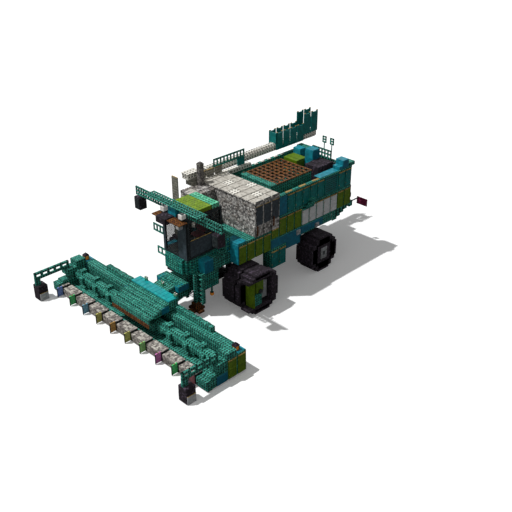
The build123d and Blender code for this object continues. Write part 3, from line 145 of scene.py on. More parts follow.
# Enamels sprayed on pressed steel: even colour and a soft sheen, with orange peel and dust
CYAN_ENAMEL = Finish("enamel_cyan", "136d7c", "17879a", "1c93a5", grain_mm=90, rough=0.42,
                     relief_mm=0.6)
STRIP_ENAMEL = Finish("enamel_cyan_strip", "159094", "17a1a4", "1cadac", grain_mm=90, rough=0.42,
                      relief_mm=0.6)
TEAL_ENAMEL = Finish("enamel_teal", "0a6462", "0c7472", "0e807c", grain_mm=80, rough=0.45,
                     relief_mm=0.6)
OLIVE_ENAMEL = Finish("enamel_olive", "526d0c", "5b770e", "648112", grain_mm=80, rough=0.5,
                      relief_mm=0.6)
# A darker blue-cyan, laid as thin sheets on the sides of cyan and teal parts as painted shade
SIDE_SHADE_ENAMEL = Finish("enamel_painted_side_shade", "0d5f76", "0f6b84", "117690", grain_mm=90, rough=0.45,
                     relief_mm=0.6)
WHITE_ENAMEL = Finish("enamel_white", "d3d6d7", "dfe1e2", "e8e9ea", grain_mm=80, rough=0.4,
                      relief_mm=0.5)
CHARCOAL_ENAMEL = Finish("enamel_charcoal", "333b42", "3c454c", "475058", grain_mm=70, rough=0.4,
                         relief_mm=0.5)
MAROON_ENAMEL = Finish("enamel_maroon", "6a1a3c", "84274c", "9a3560", grain_mm=40, rough=0.5)
# Lime enamel on the cab's roof plates, riveted: a grid of small dark dots
LIME_ENAMEL = Finish("enamel_lime", "62800f", "6f8f12", "7c9c14", grain_mm=110, rough=0.5,
                     relief_mm=0.6, stud_mm=147, stud=0.16)
# Copper roofing weathered to mint green and nailed: chalky flecks and dark nail heads
MINT_PATINA = Finish("copper_patina", "3a9a78", "5fc39a", "86dcb4", grain_mm=60, rough=0.75,
                     relief_mm=3.0, stud_mm=147, stud=0.24)
# Brass strip, rolled and dulled by hands: a thin warm line on the panels' tops
BRASS = Finish("brass_edging", "7a6334", "a58a4e", "c2a869", grain_mm=30, rough=0.45,
               metallic=0.6)
# Limestone slabs, sawn: pale, close flecks
SLAB_STONE = Finish("sawn_limestone", "b0aba1", "c6c2b8", "d4d0c6", grain_mm=70, rough=0.8)
# Field stones, broken and laid in courses: strong dark and pale flecks in deep relief
RUBBLE_STONE = Finish("rubble_stone", "3a3838", "9a9693", "d6d2cd", grain_mm=70, rough=0.9,
                      relief_mm=8.0, balance=(0.25, 0.8))
# Gravel, crushed and set in resin: rough, evenly grey
GRAVEL = Finish("crushed_gravel", "5a5552", "918b86", "bdb6ae", grain_mm=60, rough=0.95,
                relief_mm=7.0)
# Limestone, bleached and drilled: nearly white, with a grid of dark holes
WHITE_STONE = Finish("bleached_limestone", "dedad0", "f0ede2", "f6f3ea", grain_mm=60, rough=0.8,
                     relief_mm=1.0, stud_mm=147, stud=0.26)
# Tyre rubber, vulcanised: near black, with dried field dust in its pores
TYRE_RUBBER = Finish("tyre_rubber", "151116", "282129", "5a4e5e", grain_mm=60, rough=0.85,
                     relief_mm=6.0, balance=(0.5, 0.97))
# Steel, rolled or cast, under dark paint: half matt
DARK_STEEL = Finish("painted_steel_dark", "1e2224", "2b3032", "3a4042", grain_mm=60, rough=0.5,
                    metallic=0.4)
# Cylinder rods, ground and hard-chromed: a smooth mirror
CHROME = Finish("chromed_steel", "b8bcc0", "c6cace", "d2d6da", grain_mm=200, rough=0.18,
                metallic=1.0, relief_mm=0.1)
# Steel, dipped in zinc: light grey with faint spangles
GREY_STEEL = Finish("galvanised_steel", "8f9294", "a3a6a8", "b5b8ba", grain_mm=60, rough=0.45,
                    metallic=0.35)
# Bronze bars, cast and oiled: brown with a dull shine
BRONZE = Finish("bronze_grating", "2a170a", "6b4119", "8a5a26", grain_mm=40, rough=0.5,
                metallic=0.3)
# The exhaust's steel, browned by heat and soot: matt
SOOT_STEEL = Finish("sooty_steel", "3c3a3a", "686462", "8c8782", grain_mm=50, rough=0.7,
                    metallic=0.2)
# Skid plates, ground bright by the soil: pale grey
SKID_STEEL = Finish("skid_steel", "c4c8ca", "d4d7d9", "e0e2e3", grain_mm=70, rough=0.5,
                    metallic=0.1)
# Leathercloth, coated and dyed rose, with a fine pebble drawn 12 mm coarse
SEAT_VINYL = Finish("rose_leathercloth", "8a3f48", "a8505a", "bd6a72", grain_mm=12, rough=0.55,
                    relief_mm=0.6)
# Float glass, tinted in the mass: dark, smooth, seen through
TINTED_GLASS = Finish("tinted_glass", "1c2326", "1c2326", "1c2326", Pattern.GLASS, rough=0.04,
                      specular=0.5)
# The driver's screen, a backlit sheet: even pale blue
SCREEN_GLOW = Finish("screen_face", "6fa8c4", "8fc4dc", "a8d8ec", Pattern.LAMP, grain_mm=30,
                     rough=0.3)
# Lamp lenses, moulded in amber and in frosted polycarbonate: glossy, lit a little from within
AMBER_LENS = Finish("amber_lens", "c65a0c", "e07a1c", "f0a040", Pattern.LAMP, grain_mm=40,
                    rough=0.3)
CLEAR_LENS = Finish("frosted_lens", "cfccc6", "dedcd6", "eceae6", Pattern.LAMP, grain_mm=60,
                    rough=0.35)
# Enamel on the ten divider plates in field colours, lifted 1.32 to 1.62 times as painted light:
# their broad faces turn away from the sun, and the lift stands in for it
DIVIDER_COLOURS = ("5a6d9e", "3f9058", "5f879a", "8e8d52", "8a6b3e",
                   "8e8d52", "6f9c60", "9c5c8c", "3f9c5c", "b06a70")
DIVIDER_LIT_ENAMELS = tuple(
    Finish(f"enamel_divider_painted_light_{i}", shade(c, 1.32), shade(c, 1.48), shade(c, 1.62), grain_mm=60,
           rough=0.5, relief_mm=0.4) for i, c in enumerate(DIVIDER_COLOURS))

NODE_FINISHES = {
    TEAL_BOARD: "hull lockers hopper mirror_bar ladder feeder header_frame crop_auger header_hood"
                " outrigger_arms unload_post",
    BRIGHT_BOARD: "cab_base",
    BROWN_BOARD: "visor support_leg",
    CYAN_ENAMEL: "side_blocks",
    TEAL_ENAMEL: "teal_panels unload_hood",
    OLIVE_ENAMEL: "olive_panels front_rim_left front_rim_right crop_dividers header_end_panels",
    WHITE_ENAMEL: "white_panels",
    LIME_ENAMEL: "cab_roof",
    CHARCOAL_ENAMEL: "tank_windows",
    RUBBLE_STONE: "tank_front",
    SLAB_STONE: "tank_roof",
    WHITE_STONE: "unload_tube",
    GRAVEL: "cutter_bar",
    TYRE_RUBBER: "front_tyre_left front_tyre_right rear_tyre_left rear_tyre_right outrigger_shoes",
    DARK_STEEL: "cab_frame cab_door chassis front_axle rear_axle knuckle_left knuckle_right"
                " lift_barrels engine_block radiator_screen marker",
    CHROME: "lift_rods",
    GREY_STEEL: "rear_rim_left rear_rim_right",
    BRONZE: "hopper_lid",
    SEAT_VINYL: "driver_station",
    TINTED_GLASS: "cab_glazing cab_door_glass",
    AMBER_LENS: "lanterns",
    CLEAR_LENS: "work_lamps",
}


def add_node(tree: bpy.types.NodeTree, kind: str, settings: Optional[dict] = None,
             links: Optional[dict] = None) -> bpy.types.Node:
    """Adds a shader node with its settings and links.

    Args:
        tree: the node tree of a material or of the world.
        kind: the node's type, without the words ShaderNode.
        settings: attributes by name, and sockets' values by number or name.
        links: for each input, by number or name, a socket, or a node for its first output.

    Returns:
        The new node.
    """
    made = tree.nodes.new("ShaderNode" + kind)
    for key, value in (settings or {}).items():
        if isinstance(key, str) and hasattr(made, key):
            setattr(made, key, value)
        else:
            made.inputs[key].default_value = value
    for key, source in (links or {}).items():
        socket = source.outputs[0] if isinstance(source, bpy.types.Node) else source
        tree.links.new(socket, made.inputs[key])
    return made


class Surface:
    """A finish's material and the layout of its nodes."""

    def __init__(self, finish: Finish) -> None:
        """Makes the material.

        Args:
            finish: the finish.
        """
        self.finish = finish
        self.material = bpy.data.materials.new(finish.name)
        self.material.use_nodes = True
        tree = self.material.node_tree
        tree.nodes.clear()
        self.node = partial(add_node, tree)
        self.place = self.node("TexCoord")
        inward = self.node("VectorMath", {"operation": "SCALE", "Scale": -UNDER_SURFACE},
                           {0: self.place.outputs["Normal"]})
        self.inside = self.node("VectorMath", {"operation": "ADD"},
                                {0: self.place.outputs["Object"], 1: inward})
        grain = finish.grain_mm / 1000
        cells = self.node("VectorMath", {"operation": "DIVIDE", 1: (grain, grain, grain)},
                          {0: self.inside})
        cell = self.node("VectorMath", {"operation": "FLOOR"}, {0: cells})
        chance = self.node("TexWhiteNoise", {"noise_dimensions": "3D"}, {0: cell})
        cloud = self.node("TexNoise", {"Scale": CLOUD_SCALE, "Detail": CLOUD_DETAIL},
                          {"Vector": self.place.outputs["Object"]})
        gloss = self.node("MapRange", {1: CLOUD_RANGE[0], 2: CLOUD_RANGE[1],
                                       3: max(SMOOTHEST, finish.rough - SMOOTHER),
                                       4: finish.rough + ROUGHER}, {0: cloud})
        settings = {"Metallic": finish.metallic, "Specular IOR Level": finish.specular}
        links = {"Roughness": gloss}
        if finish.pattern is Pattern.GLASS:
            settings.update({"Base Color": linear(finish.body), "Alpha": GLASS_ALPHA})
        else:
            links["Base Color"] = self.colour(chance, cloud)
        if finish.pattern is Pattern.LAMP:
            settings.update({"Emission Color": linear(finish.light),
                             "Emission Strength": LENS_GLOW})
        if finish.pattern in (Pattern.PLANK, Pattern.FLECK):
            links["Normal"] = self.node(
                "Bump", {"Strength": BUMP_STRENGTH, "Distance": finish.relief_mm / 1000},
                {"Height": chance})
        shader = self.node("BsdfPrincipled", settings, links)
        self.node("OutputMaterial", {}, {"Surface": shader})

    def colour(self, chance: bpy.types.Node, cloud: bpy.types.Node) -> bpy.types.NodeSocket:
        """Lays out the mottle, with the boards' joints and the plugs where the finish has them.

        Args:
            chance: a random value for each cell.
            cloud: a slow variation.

        Returns:
            The surface's colour.
        """
        mixed = self.node("Mix", {0: CLOUD_SHARE}, {2: chance, 3: cloud})
        ramp = self.node("ValToRGB", {}, {0: mixed})
        low, high = self.finish.balance
        first, last = ramp.color_ramp.elements
        first.position, first.color = DARK_FROM, linear(self.finish.dark)
        last.position, last.color = high, linear(self.finish.light)
        ramp.color_ramp.elements.new((low + high) / 2).color = linear(self.finish.body)
        colour = ramp.outputs[0]
        if self.finish.pattern is Pattern.PLANK:
            colour = self.joints(colour)
        return self.studs(colour) if self.finish.stud_mm else colour

    def studs(self, colour: bpy.types.NodeSocket) -> bpy.types.NodeSocket:
        """Darkens a round plug in each square of a grid that lies in the face.

        Args:
            colour: the surface's colour so far.

        Returns:
            The colour with the plugs.
        """
        pitch = self.finish.stud_mm / 1000
        cells = self.node("VectorMath", {"operation": "DIVIDE", 1: (pitch, pitch, pitch)},
                          {0: self.inside})
        part = self.node("VectorMath", {"operation": "FRACTION"}, {0: cells})
        middle = self.node("VectorMath", {"operation": "SUBTRACT", 1: (0.5, 0.5, 0.5)}, {0: part})
        facing = self.node("VectorMath", {"operation": "ABSOLUTE"},
                           {0: self.place.outputs["Normal"]})
        across = self.node("VectorMath", {"operation": "SUBTRACT", 0: (1.0, 1.0, 1.0)},
                           {1: facing})
        flat = self.node("VectorMath", {"operation": "MULTIPLY"}, {0: middle, 1: across})
        reach = self.node("VectorMath", {"operation": "LENGTH"}, {0: flat})
        plug = self.node("Math", {"operation": "LESS_THAN", 1: self.finish.stud},
                         {0: reach.outputs["Value"]})
        darker = self.node("VectorMath", {"operation": "SCALE", "Scale": PLUG_DARK}, {0: colour})
        return self.node("Mix", {"data_type": "RGBA"}, {0: plug, 6: colour, 7: darker}).outputs[2]

    def joints(self, colour: bpy.types.NodeSocket) -> bpy.types.NodeSocket:
        """Darkens a joint at the foot of each board and tints each board a little.

        Args:
            colour: the boards' colour so far.

        Returns:
            The colour with joints and tints.
        """
        spot = self.node("SeparateXYZ", {}, {0: self.inside})
        facing = self.node("SeparateXYZ", {}, {0: self.place.outputs["Normal"]})
        upward = self.node("Math", {"operation": "ABSOLUTE"}, {0: facing.outputs[2]})
        level = self.node("Math", {"operation": "GREATER_THAN", 1: LEVEL_FROM}, {0: upward})
        across = self.node("Mix", {}, {0: level, 2: spot.outputs[2], 3: spot.outputs[1]})
        boards = self.node("Math", {"operation": "DIVIDE", 1: self.finish.board_mm / 1000},
                           {0: across})
        along = self.node("Math", {"operation": "FRACT"}, {0: boards})
        joint = self.node("Math", {"operation": "LESS_THAN", 1: JOINT_SHARE}, {0: along})
        row = self.node("Math", {"operation": "FLOOR"}, {0: boards})
        tint = self.node("TexWhiteNoise", {"noise_dimensions": "1D"}, {"W": row})
        tone = self.node("MapRange", {3: BOARD_TINT[0], 4: BOARD_TINT[1]}, {0: tint})
        tinted = self.node("VectorMath", {"operation": "SCALE"}, {0: colour, "Scale": tone})
        darker = self.node("VectorMath", {"operation": "SCALE", "Scale": JOINT_DARK}, {0: tinted})
        return self.node("Mix", {"data_type": "RGBA"}, {0: joint, 6: tinted, 7: darker}).outputs[2]


@lru_cache(maxsize=None)
def paint(finish: Finish) -> bpy.types.Material:
    """Gives a finish's material, made at its first use."""
    return Surface(finish).material


class Piece:
    """One finished piece, made of bevelled blocks whose places are in blocks of the grid."""

    def __init__(self, name: str, *finishes: Finish) -> None:
        """Starts an empty piece.

        Args:
            name: the piece's name.
            finishes: its finishes, which the blocks name by number.
        """
        self.name = name
        self.finishes = finishes
        self.mesh = bmesh.new()

    def block(self, x: Span, y: Span, z: Span, finish: int = 0) -> None:
        """Adds a block between two places along each axis, in any order.

        Args:
            x: from and to across.
            y: from and to along.
            z: from and to upwards.
            finish: the finish's number.
        """
        spans = tuple(zip((x, y, z), (0.0, -FRONT_ROW, GROUND_ROW)))
        low = Vector([(min(span) + shift) * BLOCK for span, shift in spans])
        high = Vector([(max(span) + shift) * BLOCK for span, shift in spans])
        place = Matrix.Translation((low + high) / 2) @ Matrix.Diagonal((*(high - low), 1.0))
        made = bmesh.ops.create_cube(self.mesh, size=1.0, matrix=place)
        for face in {f for v in made["verts"] for f in v.link_faces}:
            face.material_index = finish

    def rows(self, *rows: Row, sides: Sequence[int] = LEFT, at: Span = (0.0, 0.0)) -> None:
        """Adds a block for each row.

        Args:
            rows: from and to across, along and upwards, then the finish's number if it isn't 0.
            sides: 1 for a row as written and -1 for its twin on the other side.
            at: what is added along and upwards.
        """
        for x0, x1, y0, y1, z0, z1, *finish in rows:
            for side in sides:
                self.block((side * x0, side * x1), (at[0] + y0, at[0] + y1),
                           (at[1] + z0, at[1] + z1), *finish)

    def post(self, x: float, y: float, half: float, z: Span, finish: int = 0) -> None:
        """Adds a square post about an upright line."""
        self.block((x - half, x + half), (y - half, y + half), z, finish)

    def lattice(self, x: Span, y: Span, z: Span, bar: float, pitch: float,
                finish: int = 0) -> None:
        """Adds a lattice of square bars that fills an upright or level box.

        Args:
            x: from and to across.
            y: from and to along.
            z: from and to upwards.
            bar: the bars' width.
            pitch: the distance between bars.
            finish: the finish's number.
        """
        spans = [x, y, z]
        sizes = [abs(b - a) for a, b in spans]
        thin = sizes.index(min(sizes))
        wide = [i for i in range(3) if i != thin]
        for run, other in (wide, wide[::-1]):
            count = max(1, round((sizes[other] - bar) / pitch))
            step = (sizes[other] - bar) / count
            for i in range(count + 1):
                box = list(spans)
                start = min(spans[other]) + i * step
                box[other] = (start, start + bar)
                if run == wide[1]:
                    inset = sizes[thin] * CROSS_INSET
                    box[thin] = (min(spans[thin]) + inset, max(spans[thin]) - inset)
                self.block(*box, finish)

    def finish(self, replaces: str = "", body: str = "chassis", bevel_mm: float = 6.0) -> None:
        """Bevels the blocks, makes the object and rides it on its body.

        Args:
            replaces: the CAD node that it stands for, if any.
            body: the CAD body that it moves with.
            bevel_mm: the bevel's width.
        """
        bmesh.ops.bevel(self.mesh, geom=self.mesh.edges[:], offset=bevel_mm / 1000,
                        offset_type="OFFSET", affect="EDGES", segments=1, profile=0.5,
                        material=-1, clamp_overlap=True)
        made = self.place(self.name, self.mesh, self.finishes)
        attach(made, body)
        if replaces:
            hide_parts(replaces)
        log.info("%s: %d faces on %s", self.name, len(made.data.polygons), body)

    @staticmethod
    def place(name: str, mesh: bmesh.types.BMesh, finishes: Sequence[Finish]) -> bpy.types.Object:
        """Makes an object at the origin from a mesh, with its materials.

        Args:
            name: the object's name.
            mesh: the mesh, which is used up.
            finishes: the finishes, in the order of the faces' numbers.

        Returns:
            The object.
        """
        data = bpy.data.meshes.new(name)
        mesh.to_mesh(data)
        mesh.free()
        for finish in finishes:
            data.materials.append(paint(finish))
        made = bpy.data.objects.new(name, data)
        bpy.context.scene.collection.objects.link(made)
        return made


@dataclass
class SidePanels:
    """The hung panels in three colours and the louvres between their rows, on both sides."""

    wall: float = 3.409
    face: float = 3.5
    edge: float = 3.532
    width: float = 0.832
    height: float = 1.666
    inset: float = 0.084
    stile: float = 0.09
    gap: float = 0.02
    slats: int = 7
    slat_pitch: float = 0.2

    def panel(self, piece: Piece, start: float, top: float, height: float) -> None:
        """Adds a panel and its twin: a sheet with stiles, three rails, a brass top and clips.

        Args:
            piece: the piece that they belong to.
            start: their front edge.
            top: their top.
            height: their height.
        """
        end, low, stile, gap = start + self.width, top - height, self.stile, self.gap
        wall, face = self.wall, self.face
        piece.rows(
            (wall, face - 0.03, start + gap, end - gap, low + gap, top - gap),
            *((wall, face, a, a + stile, low, top - 0.08) for a in (start, end - stile)),
            *((wall, face, start + stile, end - stile, b, b + stile)
              for b in (low, low + (height - stile) / 2, top - 0.17)),
            (wall, self.edge, start, end, top - 0.082, top, 1),
            *((face, min(face + gap, self.edge), start + 0.02, start + 0.07, b, b + 0.12, 1)
              for b in (low + 0.3, top - 0.45)), sides=SIDES)

    def build(self) -> None:
        """Builds the three sets of panels, each a row of equal panels at a time."""
        tall = self.height
        for name, finish, rows in (
                ("olive", OLIVE_ENAMEL, ((0, 4, 0.78, tall), (5, 3, 1.78, tall),
                                         (13, 2, 1.78, tall), (4, 1, 1.0, 0.864))),
                ("white", WHITE_ENAMEL, ((8, 5, 1.78, tall),)),
                ("teal", TEAL_ENAMEL, ((6, 5, 3.78, tall), (13, 2, 3.78, tall),
                                       (4, 2, -1.22, tall)))):
            piece = Piece(f"{name}_panel_set", finish, BRASS, DARK_STEEL)
            for station, count, top, height in rows:
                for i in range(count):
                    self.panel(piece, station + i + self.inset, top, height)
            if finish is TEAL_ENAMEL:
                self.louvre(piece)
            piece.finish(f"{name}_panels", bevel_mm=4)

    def louvre(self, piece: Piece) -> None:
        """Adds the louvres between the upper rows: a frame and slats stepped outwards.

        Args:
            piece: the piece that they belong to.
        """
        start, end, top = 11 + self.inset, 12 + self.inset + self.width, 3.78
        low, bar, wall, face = top - self.height, self.stile, self.wall, self.face
        inner = (start + bar, end - bar)
        piece.rows((wall, wall + self.gap, start, end, low, top, 2),
                   *((wall, face, a, a + bar, low, top) for a in (start, end - bar)),
                   *((wall, face, *inner, b, b + bar) for b in (low, top - bar)), sides=SIDES)
        for i in range(self.slats):
            base = low + 0.14 + i * self.slat_pitch
            piece.rows((wall, face - 0.01, *inner, base, base + 0.05),
                       (wall, face - 0.05, *inner, base + 0.05, base + 0.1), sides=SIDES)


@dataclass
class BodyShell:
    """Boards, ledges, scoops and lamps on the body's sides."""

    wall: float = 3.409

    def build(self) -> None:
        """Builds the trim on both sides."""
        trim = Piece("body_trim", TEAL_BOARD, SIDE_SHADE_ENAMEL, BROWN_BOARD, GREY_STEEL, BRIGHT_BOARD)
        wall = self.wall
        trim.rows(
            # ledges between the rows of panels
            (wall, 3.49, 5, 15, 1.84, 2.02), (wall, 3.46, 5, 11.4, -0.06, 0.06),
            (wall, 3.49, 5, 15, 3.84, 3.96),
            # darker blue-cyan sheets, painted shade on the sides: upright beside the tank, and hung
            # under the panels
            (wall, 3.48, 5.02, 5.98, 2.08, 3.8, 1), (wall, 3.47, 8, 11, -0.75, -0.06, 1),
            (wall, 3.46, 4.02, 7.98, -0.88, -0.08, 1), (3.3, 3.44, 6.05, 7.9, -1.6, -0.88, 1),
            # the scoop's four steps
            *((wall, 3.62 + 0.1 * i, 8 + 0.25 * i, 9.5, 1.62 + 0.24 * i, 1.78 + 0.24 * i, 4)
              for i in range(4)),
            # two side lamps with raised faces
            *((wall, 3.6, y, y + 0.45, z - 0.22, z + 0.22, 3)
              for y, z in ((7.3, -0.4), (9.9, -0.55))),
            *((3.6, 3.66, y + 0.07, y + 0.38, z - 0.15, z + 0.15, 3)
              for y, z in ((7.3, -0.4), (9.9, -0.55))),
            # the brown end board and the stepped boards under the tail
            (wall, 3.5, 14.93, 15.0, 0.1, 2.0, 2),
            *((wall, 3.45, 12.4 + 0.5 * i, 13.1 + 0.5 * i, -1 + 0.22 * i, 0.0)
              for i in range(5)), sides=SIDES)
        trim.finish(bevel_mm=5)


@dataclass
class GrainTank:
    """The stone-faced tank front: courses of rubble, slabs on its roof, dark window panels."""

    half: float = 3.5
    front: float = 2.0
    rear: float = 5.0
    low: float = 1.0
    top: float = 4.2
    courses: int = 12
    seed: int = 7
    sill: float = 2.07
    head: float = 3.88

    def build(self) -> None:
        """Builds the walls, the windows and the roof."""
        pick = random.Random(self.seed)
        self.masonry(pick)
        panes = Piece("tank_panels", CHARCOAL_ENAMEL, BRASS, BROWN_BOARD)
        sill, head = self.sill, self.head
        for i in range(3):
            y0, y1 = 2.07 + i, 2.93 + i
            panes.rows((3.42, 3.485, y0, y1, sill, head),
                       *((3.42, 3.5, a, a + 0.06, sill, head) for a in (y0, y1 - 0.09)),
                       *((3.42, 3.5, y0, y1, b, b + 0.06) for b in (sill, head - 0.09)),
                       (3.42, 3.5, y0, y1, head - 0.05, head, 1), sides=SIDES)
        for y, z in ((2.2, 1.15), (4.2, 1.45)):
            panes.rows((3.49, 3.6, y, y + 0.08, z, z + 0.9, 2), sides=SIDES)
        panes.finish("tank_windows", bevel_mm=4)
        self.roof(pick)

    def masonry(self, pick: random.Random) -> None:
        """Lays the stones: the front's courses, the piers beside the windows and the right mass.

        Args:
            pick: the seeded draw of small offsets.
        """
        wall = Piece("tank_masonry", RUBBLE_STONE, GRAVEL, SLAB_STONE)
        half, front, low, top = self.half, self.front, self.low, self.top
        wall.block((-half + 0.04, half - 0.04), (front + 0.04, self.rear), (low, top))
        rise, joint = (top - low) / self.courses, 0.012
        for row in range(self.courses):
            z0, x = low + row * rise, -half
            while x < half - 0.05:
                end = min(half, x + pick.uniform(0.22, 0.5))
                proud = pick.uniform(0.0, 0.05)
                wall.block((x + joint, end - joint), (front + 0.05 - proud, front + 0.2),
                           (z0 + joint, z0 + rise - joint), pick.choice((0, 0, 1)))
                x = end
        piers = ((2.0, 2.07), (2.93, 3.07), (3.93, 4.07), (4.93, 5.0))
        wall.rows(*((3.4, half, y0, y1, low, top) for y0, y1 in piers),
                  (3.4, half, 2.0, 5.0, self.head, top), (3.4, half, 2.0, 5.0, low, self.sill),
                  sides=SIDES)
        for i in range(4):
            for j in range(5):
                for k in range(8):
                    if i in (0, 3) or j in (0, 4) or k == 7:
                        x, y, z = -3.5 + i * 0.4875, -0.45 + j * 0.49, 1.0 + k * 0.39
                        sink = pick.uniform(0.0, 0.06)
                        wall.block((x + sink, x + 0.47), (y + sink, y + 0.475),
                                   (z + 0.01, z + 0.385 - sink / 2), pick.choice((0, 0, 1, 2)))
        wall.block((-3.4, -1.6), (-0.35, 1.95), (1.0, 3.9))
        wall.finish("tank_front", bevel_mm=14)

    def roof(self, pick: random.Random) -> None:
        """Lays the roof's slabs, five of them bleached with dark studs, and its edges.

        Args:
            pick: the seeded draw of small offsets.
        """
        roof = Piece("tank_roof_slabs", SLAB_STONE, WHITE_STONE, RUBBLE_STONE, DARK_STEEL)
        roof.block((-3.545, 3.545), (1.955, 5.0), (4.2, 4.24), 2)
        for column in range(8):
            for row in range(3):
                x0, y0 = -3.545 + column * 7.09 / 8, 1.955 + row * 3.045 / 3
                across = (x0 + 0.05, x0 + 0.836)
                pale = (column, row) in ((2, 1), (4, 0), (4, 2), (6, 1), (0, 2))
                lift = pick.uniform(0, 0.02)
                roof.block(across, (y0 + 0.05, y0 + 0.965), (4.21, 4.29 + lift), int(pale))
                if not pale:
                    roof.block(across, (y0 + 0.49, y0 + 0.52), (4.21, 4.292 + lift), 2)
        for i in range(7):
            y = 2.0 + i * 0.86
            roof.rows((-3.53, -3.06, y + 0.01, y + 0.85, 4.0 if y > 4.9 else 4.29, 4.4, 1))
        roof.rows(*((3.42, 3.53, y + 0.08, y + 0.92, 4.29, 4.34, 3) for y in (2.0, 3.0, 4.0)))
        roof.finish("tank_roof", bevel_mm=3)


@dataclass
class Header:
    """The grain header: trough, stepped ends and hood, knife bar, dividers and outriggers."""

    half: float = 10.5
    inner: float = 9.5
    rear: float = -6.0
    wall: float = -7.0
    crest_front: float = -6.4545
    floor: float = -4.864
    shelf: float = -3.0
    crest_half: float = 7.0
    crest: float = -2.5
    mid: float = -8.0
    front: float = -9.5
    hood_half: float = 2.5
    hood_top: float = -2.0
    hood_front: float = -9.0
    hood_under: float = -2.818
    knife_front: float = -10.0
    knife_rear: float = -9.114
    knife_low: float = -4.909
    knife_top: float = -4.159
    knife_seed: int = 11
    plate_front: float = -10.568
    tip: float = -12.0

    def build(self) -> None:
        """Builds the header's pieces."""
        self.shell()
        self.feeder()
        self.hood()
        self.knife()
        self.dividers()
        panels = Piece("end_panel_set", OLIVE_ENAMEL, BRASS)
        hung = SidePanels(wall=10.5, face=10.577, edge=10.59)
        for start in (-7.916, -6.916):
            hung.panel(panels, start, -3.136, hung.height)
        panels.finish("header_end_panels", "header_lift", 4)
        self.outriggers()
        self.lanterns()

    def shell(self) -> None:
        """Builds the trough in courses of boards, its toothed crest and its stepped ends."""
        shell = Piece("header_shell", TEAL_BOARD, SIDE_SHADE_ENAMEL, CYAN_ENAMEL)
        inner, half, floor, shelf, mid = self.inner, self.half, self.floor, self.shelf, self.mid
        courses, tooth, tread = 8, 0.5, 0.4227
        rise = (shelf - floor) / courses
        for i in range(courses):
            z = floor + i * rise
            shell.block((-inner, inner), (self.wall + 0.03 * (i % 2), self.rear), (z, z + rise))
        for i in range(int(2 * self.crest_half / tooth)):
            x = -self.crest_half + i * tooth
            shell.block((x, x + tooth), (self.crest_front, self.rear),
                        (shelf, self.crest - 0.04 * (i % 2)))
        for i in range(5):
            y = self.wall - i * tread
            shell.block((-inner, inner), (y - tread, y), (floor, -4.455 - 0.041 * (i + 1)))
        shell.rows((inner, half, self.front, mid - 0.5, floor, -4.0),
                   (inner, half, mid - 0.5, mid, floor, -3.5),
                   (inner, half, mid, self.rear, floor, shelf),
                   (inner, half, mid, mid + 1, shelf, shelf + 0.5),
                   (inner, half, mid - 1, mid, -3.6, shelf),
                   # finish 1, the darker blue-cyan sheets on the ends' sides, is painted shade
                   (half, half + 0.03, -9.1, mid, floor, -4.02, 1),
                   (inner - 0.03, inner, -7.05, -6.5, -4.2, -3.1, 1),
                   (9.55, 10.45, -6.95, -6.05, shelf, shelf + 0.05, 2), sides=SIDES)
        shell.finish("header_frame", "header_lift")

    def feeder(self) -> None:
        """Builds the feeder's side wings, the lattice over it and three tufts of cut straw."""
        cover = Piece("feeder_cover", BRIGHT_BOARD, CYAN_ENAMEL, SIDE_SHADE_ENAMEL, MINT_PATINA,
                      WHITE_STONE, TEAL_BOARD)
        cover.rows((0.94, 1.45, -5.05, -3.95, -2.35, -1.83, 1),
                   (0.96, 1.45, -5.08, -5.05, -2.34, -1.85, 1),
                   # the darker blue-cyan sheet on the wings' sides is painted shade
                   (1.45, 1.47, -5.05, -3.95, -2.35, -1.84, 2),
                   (0.9, 1.46, -4.3, -3.95, -1.83, -1.79, 5), sides=SIDES)
        cover.lattice((-1.46, 1.46), (-5.07, -4.3), (-1.83, -1.79), 0.13, 0.33)
        for x, y, z in ((-1.55, -6.12, -1.865), (-0.1, -5.55, -2.01), (2.3, -6.12, -1.865)):
            for i in range(6):
                a, b = x + 0.16 * math.cos(i * 2.4), y + 0.1 * math.sin(i * 2.4)
                cover.post(a, b, 0.03, (z, z + 0.24 + 0.05 * (i % 3)), 3)
                if i % 2:
                    cover.post(a, b, 0.05, (z + 0.24, z + 0.33), 4)
        cover.finish(body="header_lift", bevel_mm=5)

    def hood(self) -> None:
        """Builds the hood's steps, its cyan ridge, its cheeks and the brown boards on its lip."""
        hood = Piece("hood_steps", TEAL_BOARD, STRIP_ENAMEL, BROWN_BOARD, SIDE_SHADE_ENAMEL)
        half, under, top, front = self.hood_half, self.hood_under, self.hood_top, self.hood_front
        steps, board = 5, 0.5
        depth, drop = (self.wall - front) / steps, (top - under) / (steps + 1)
        hood.rows((-half, half, self.wall, self.crest_front - 0.002, under, top),
                  (-half, half, self.crest_front, self.rear, -2.49, top))
        for i in range(steps):
            y = self.wall - i * depth
            hood.block((-half, half), (y - depth, y), (under, top - (i + 1) * drop))
        hood.block((-half, half), (front - 0.08, front), (under - 0.77, under + drop))
        for i in range(int(2 * half / board)):
            x = -half + i * board
            hood.rows((x + 0.01, x + 0.49, -6.99, -6.01, top, top + 0.136, 1),
                      (x + 0.01, x + 0.49, front - 0.12, front - 0.04, -3.58, -3.2, 2))
        # the first cheek is in the darker blue-cyan, painted shade
        hood.rows((half, half + 0.05, -7.75, -7.0, under, top - 0.25, 3),
                  (half, half + 0.05, -8.55, -7.8, under, top - 0.5), sides=SIDES)
        hood.finish("header_hood", "header_lift")

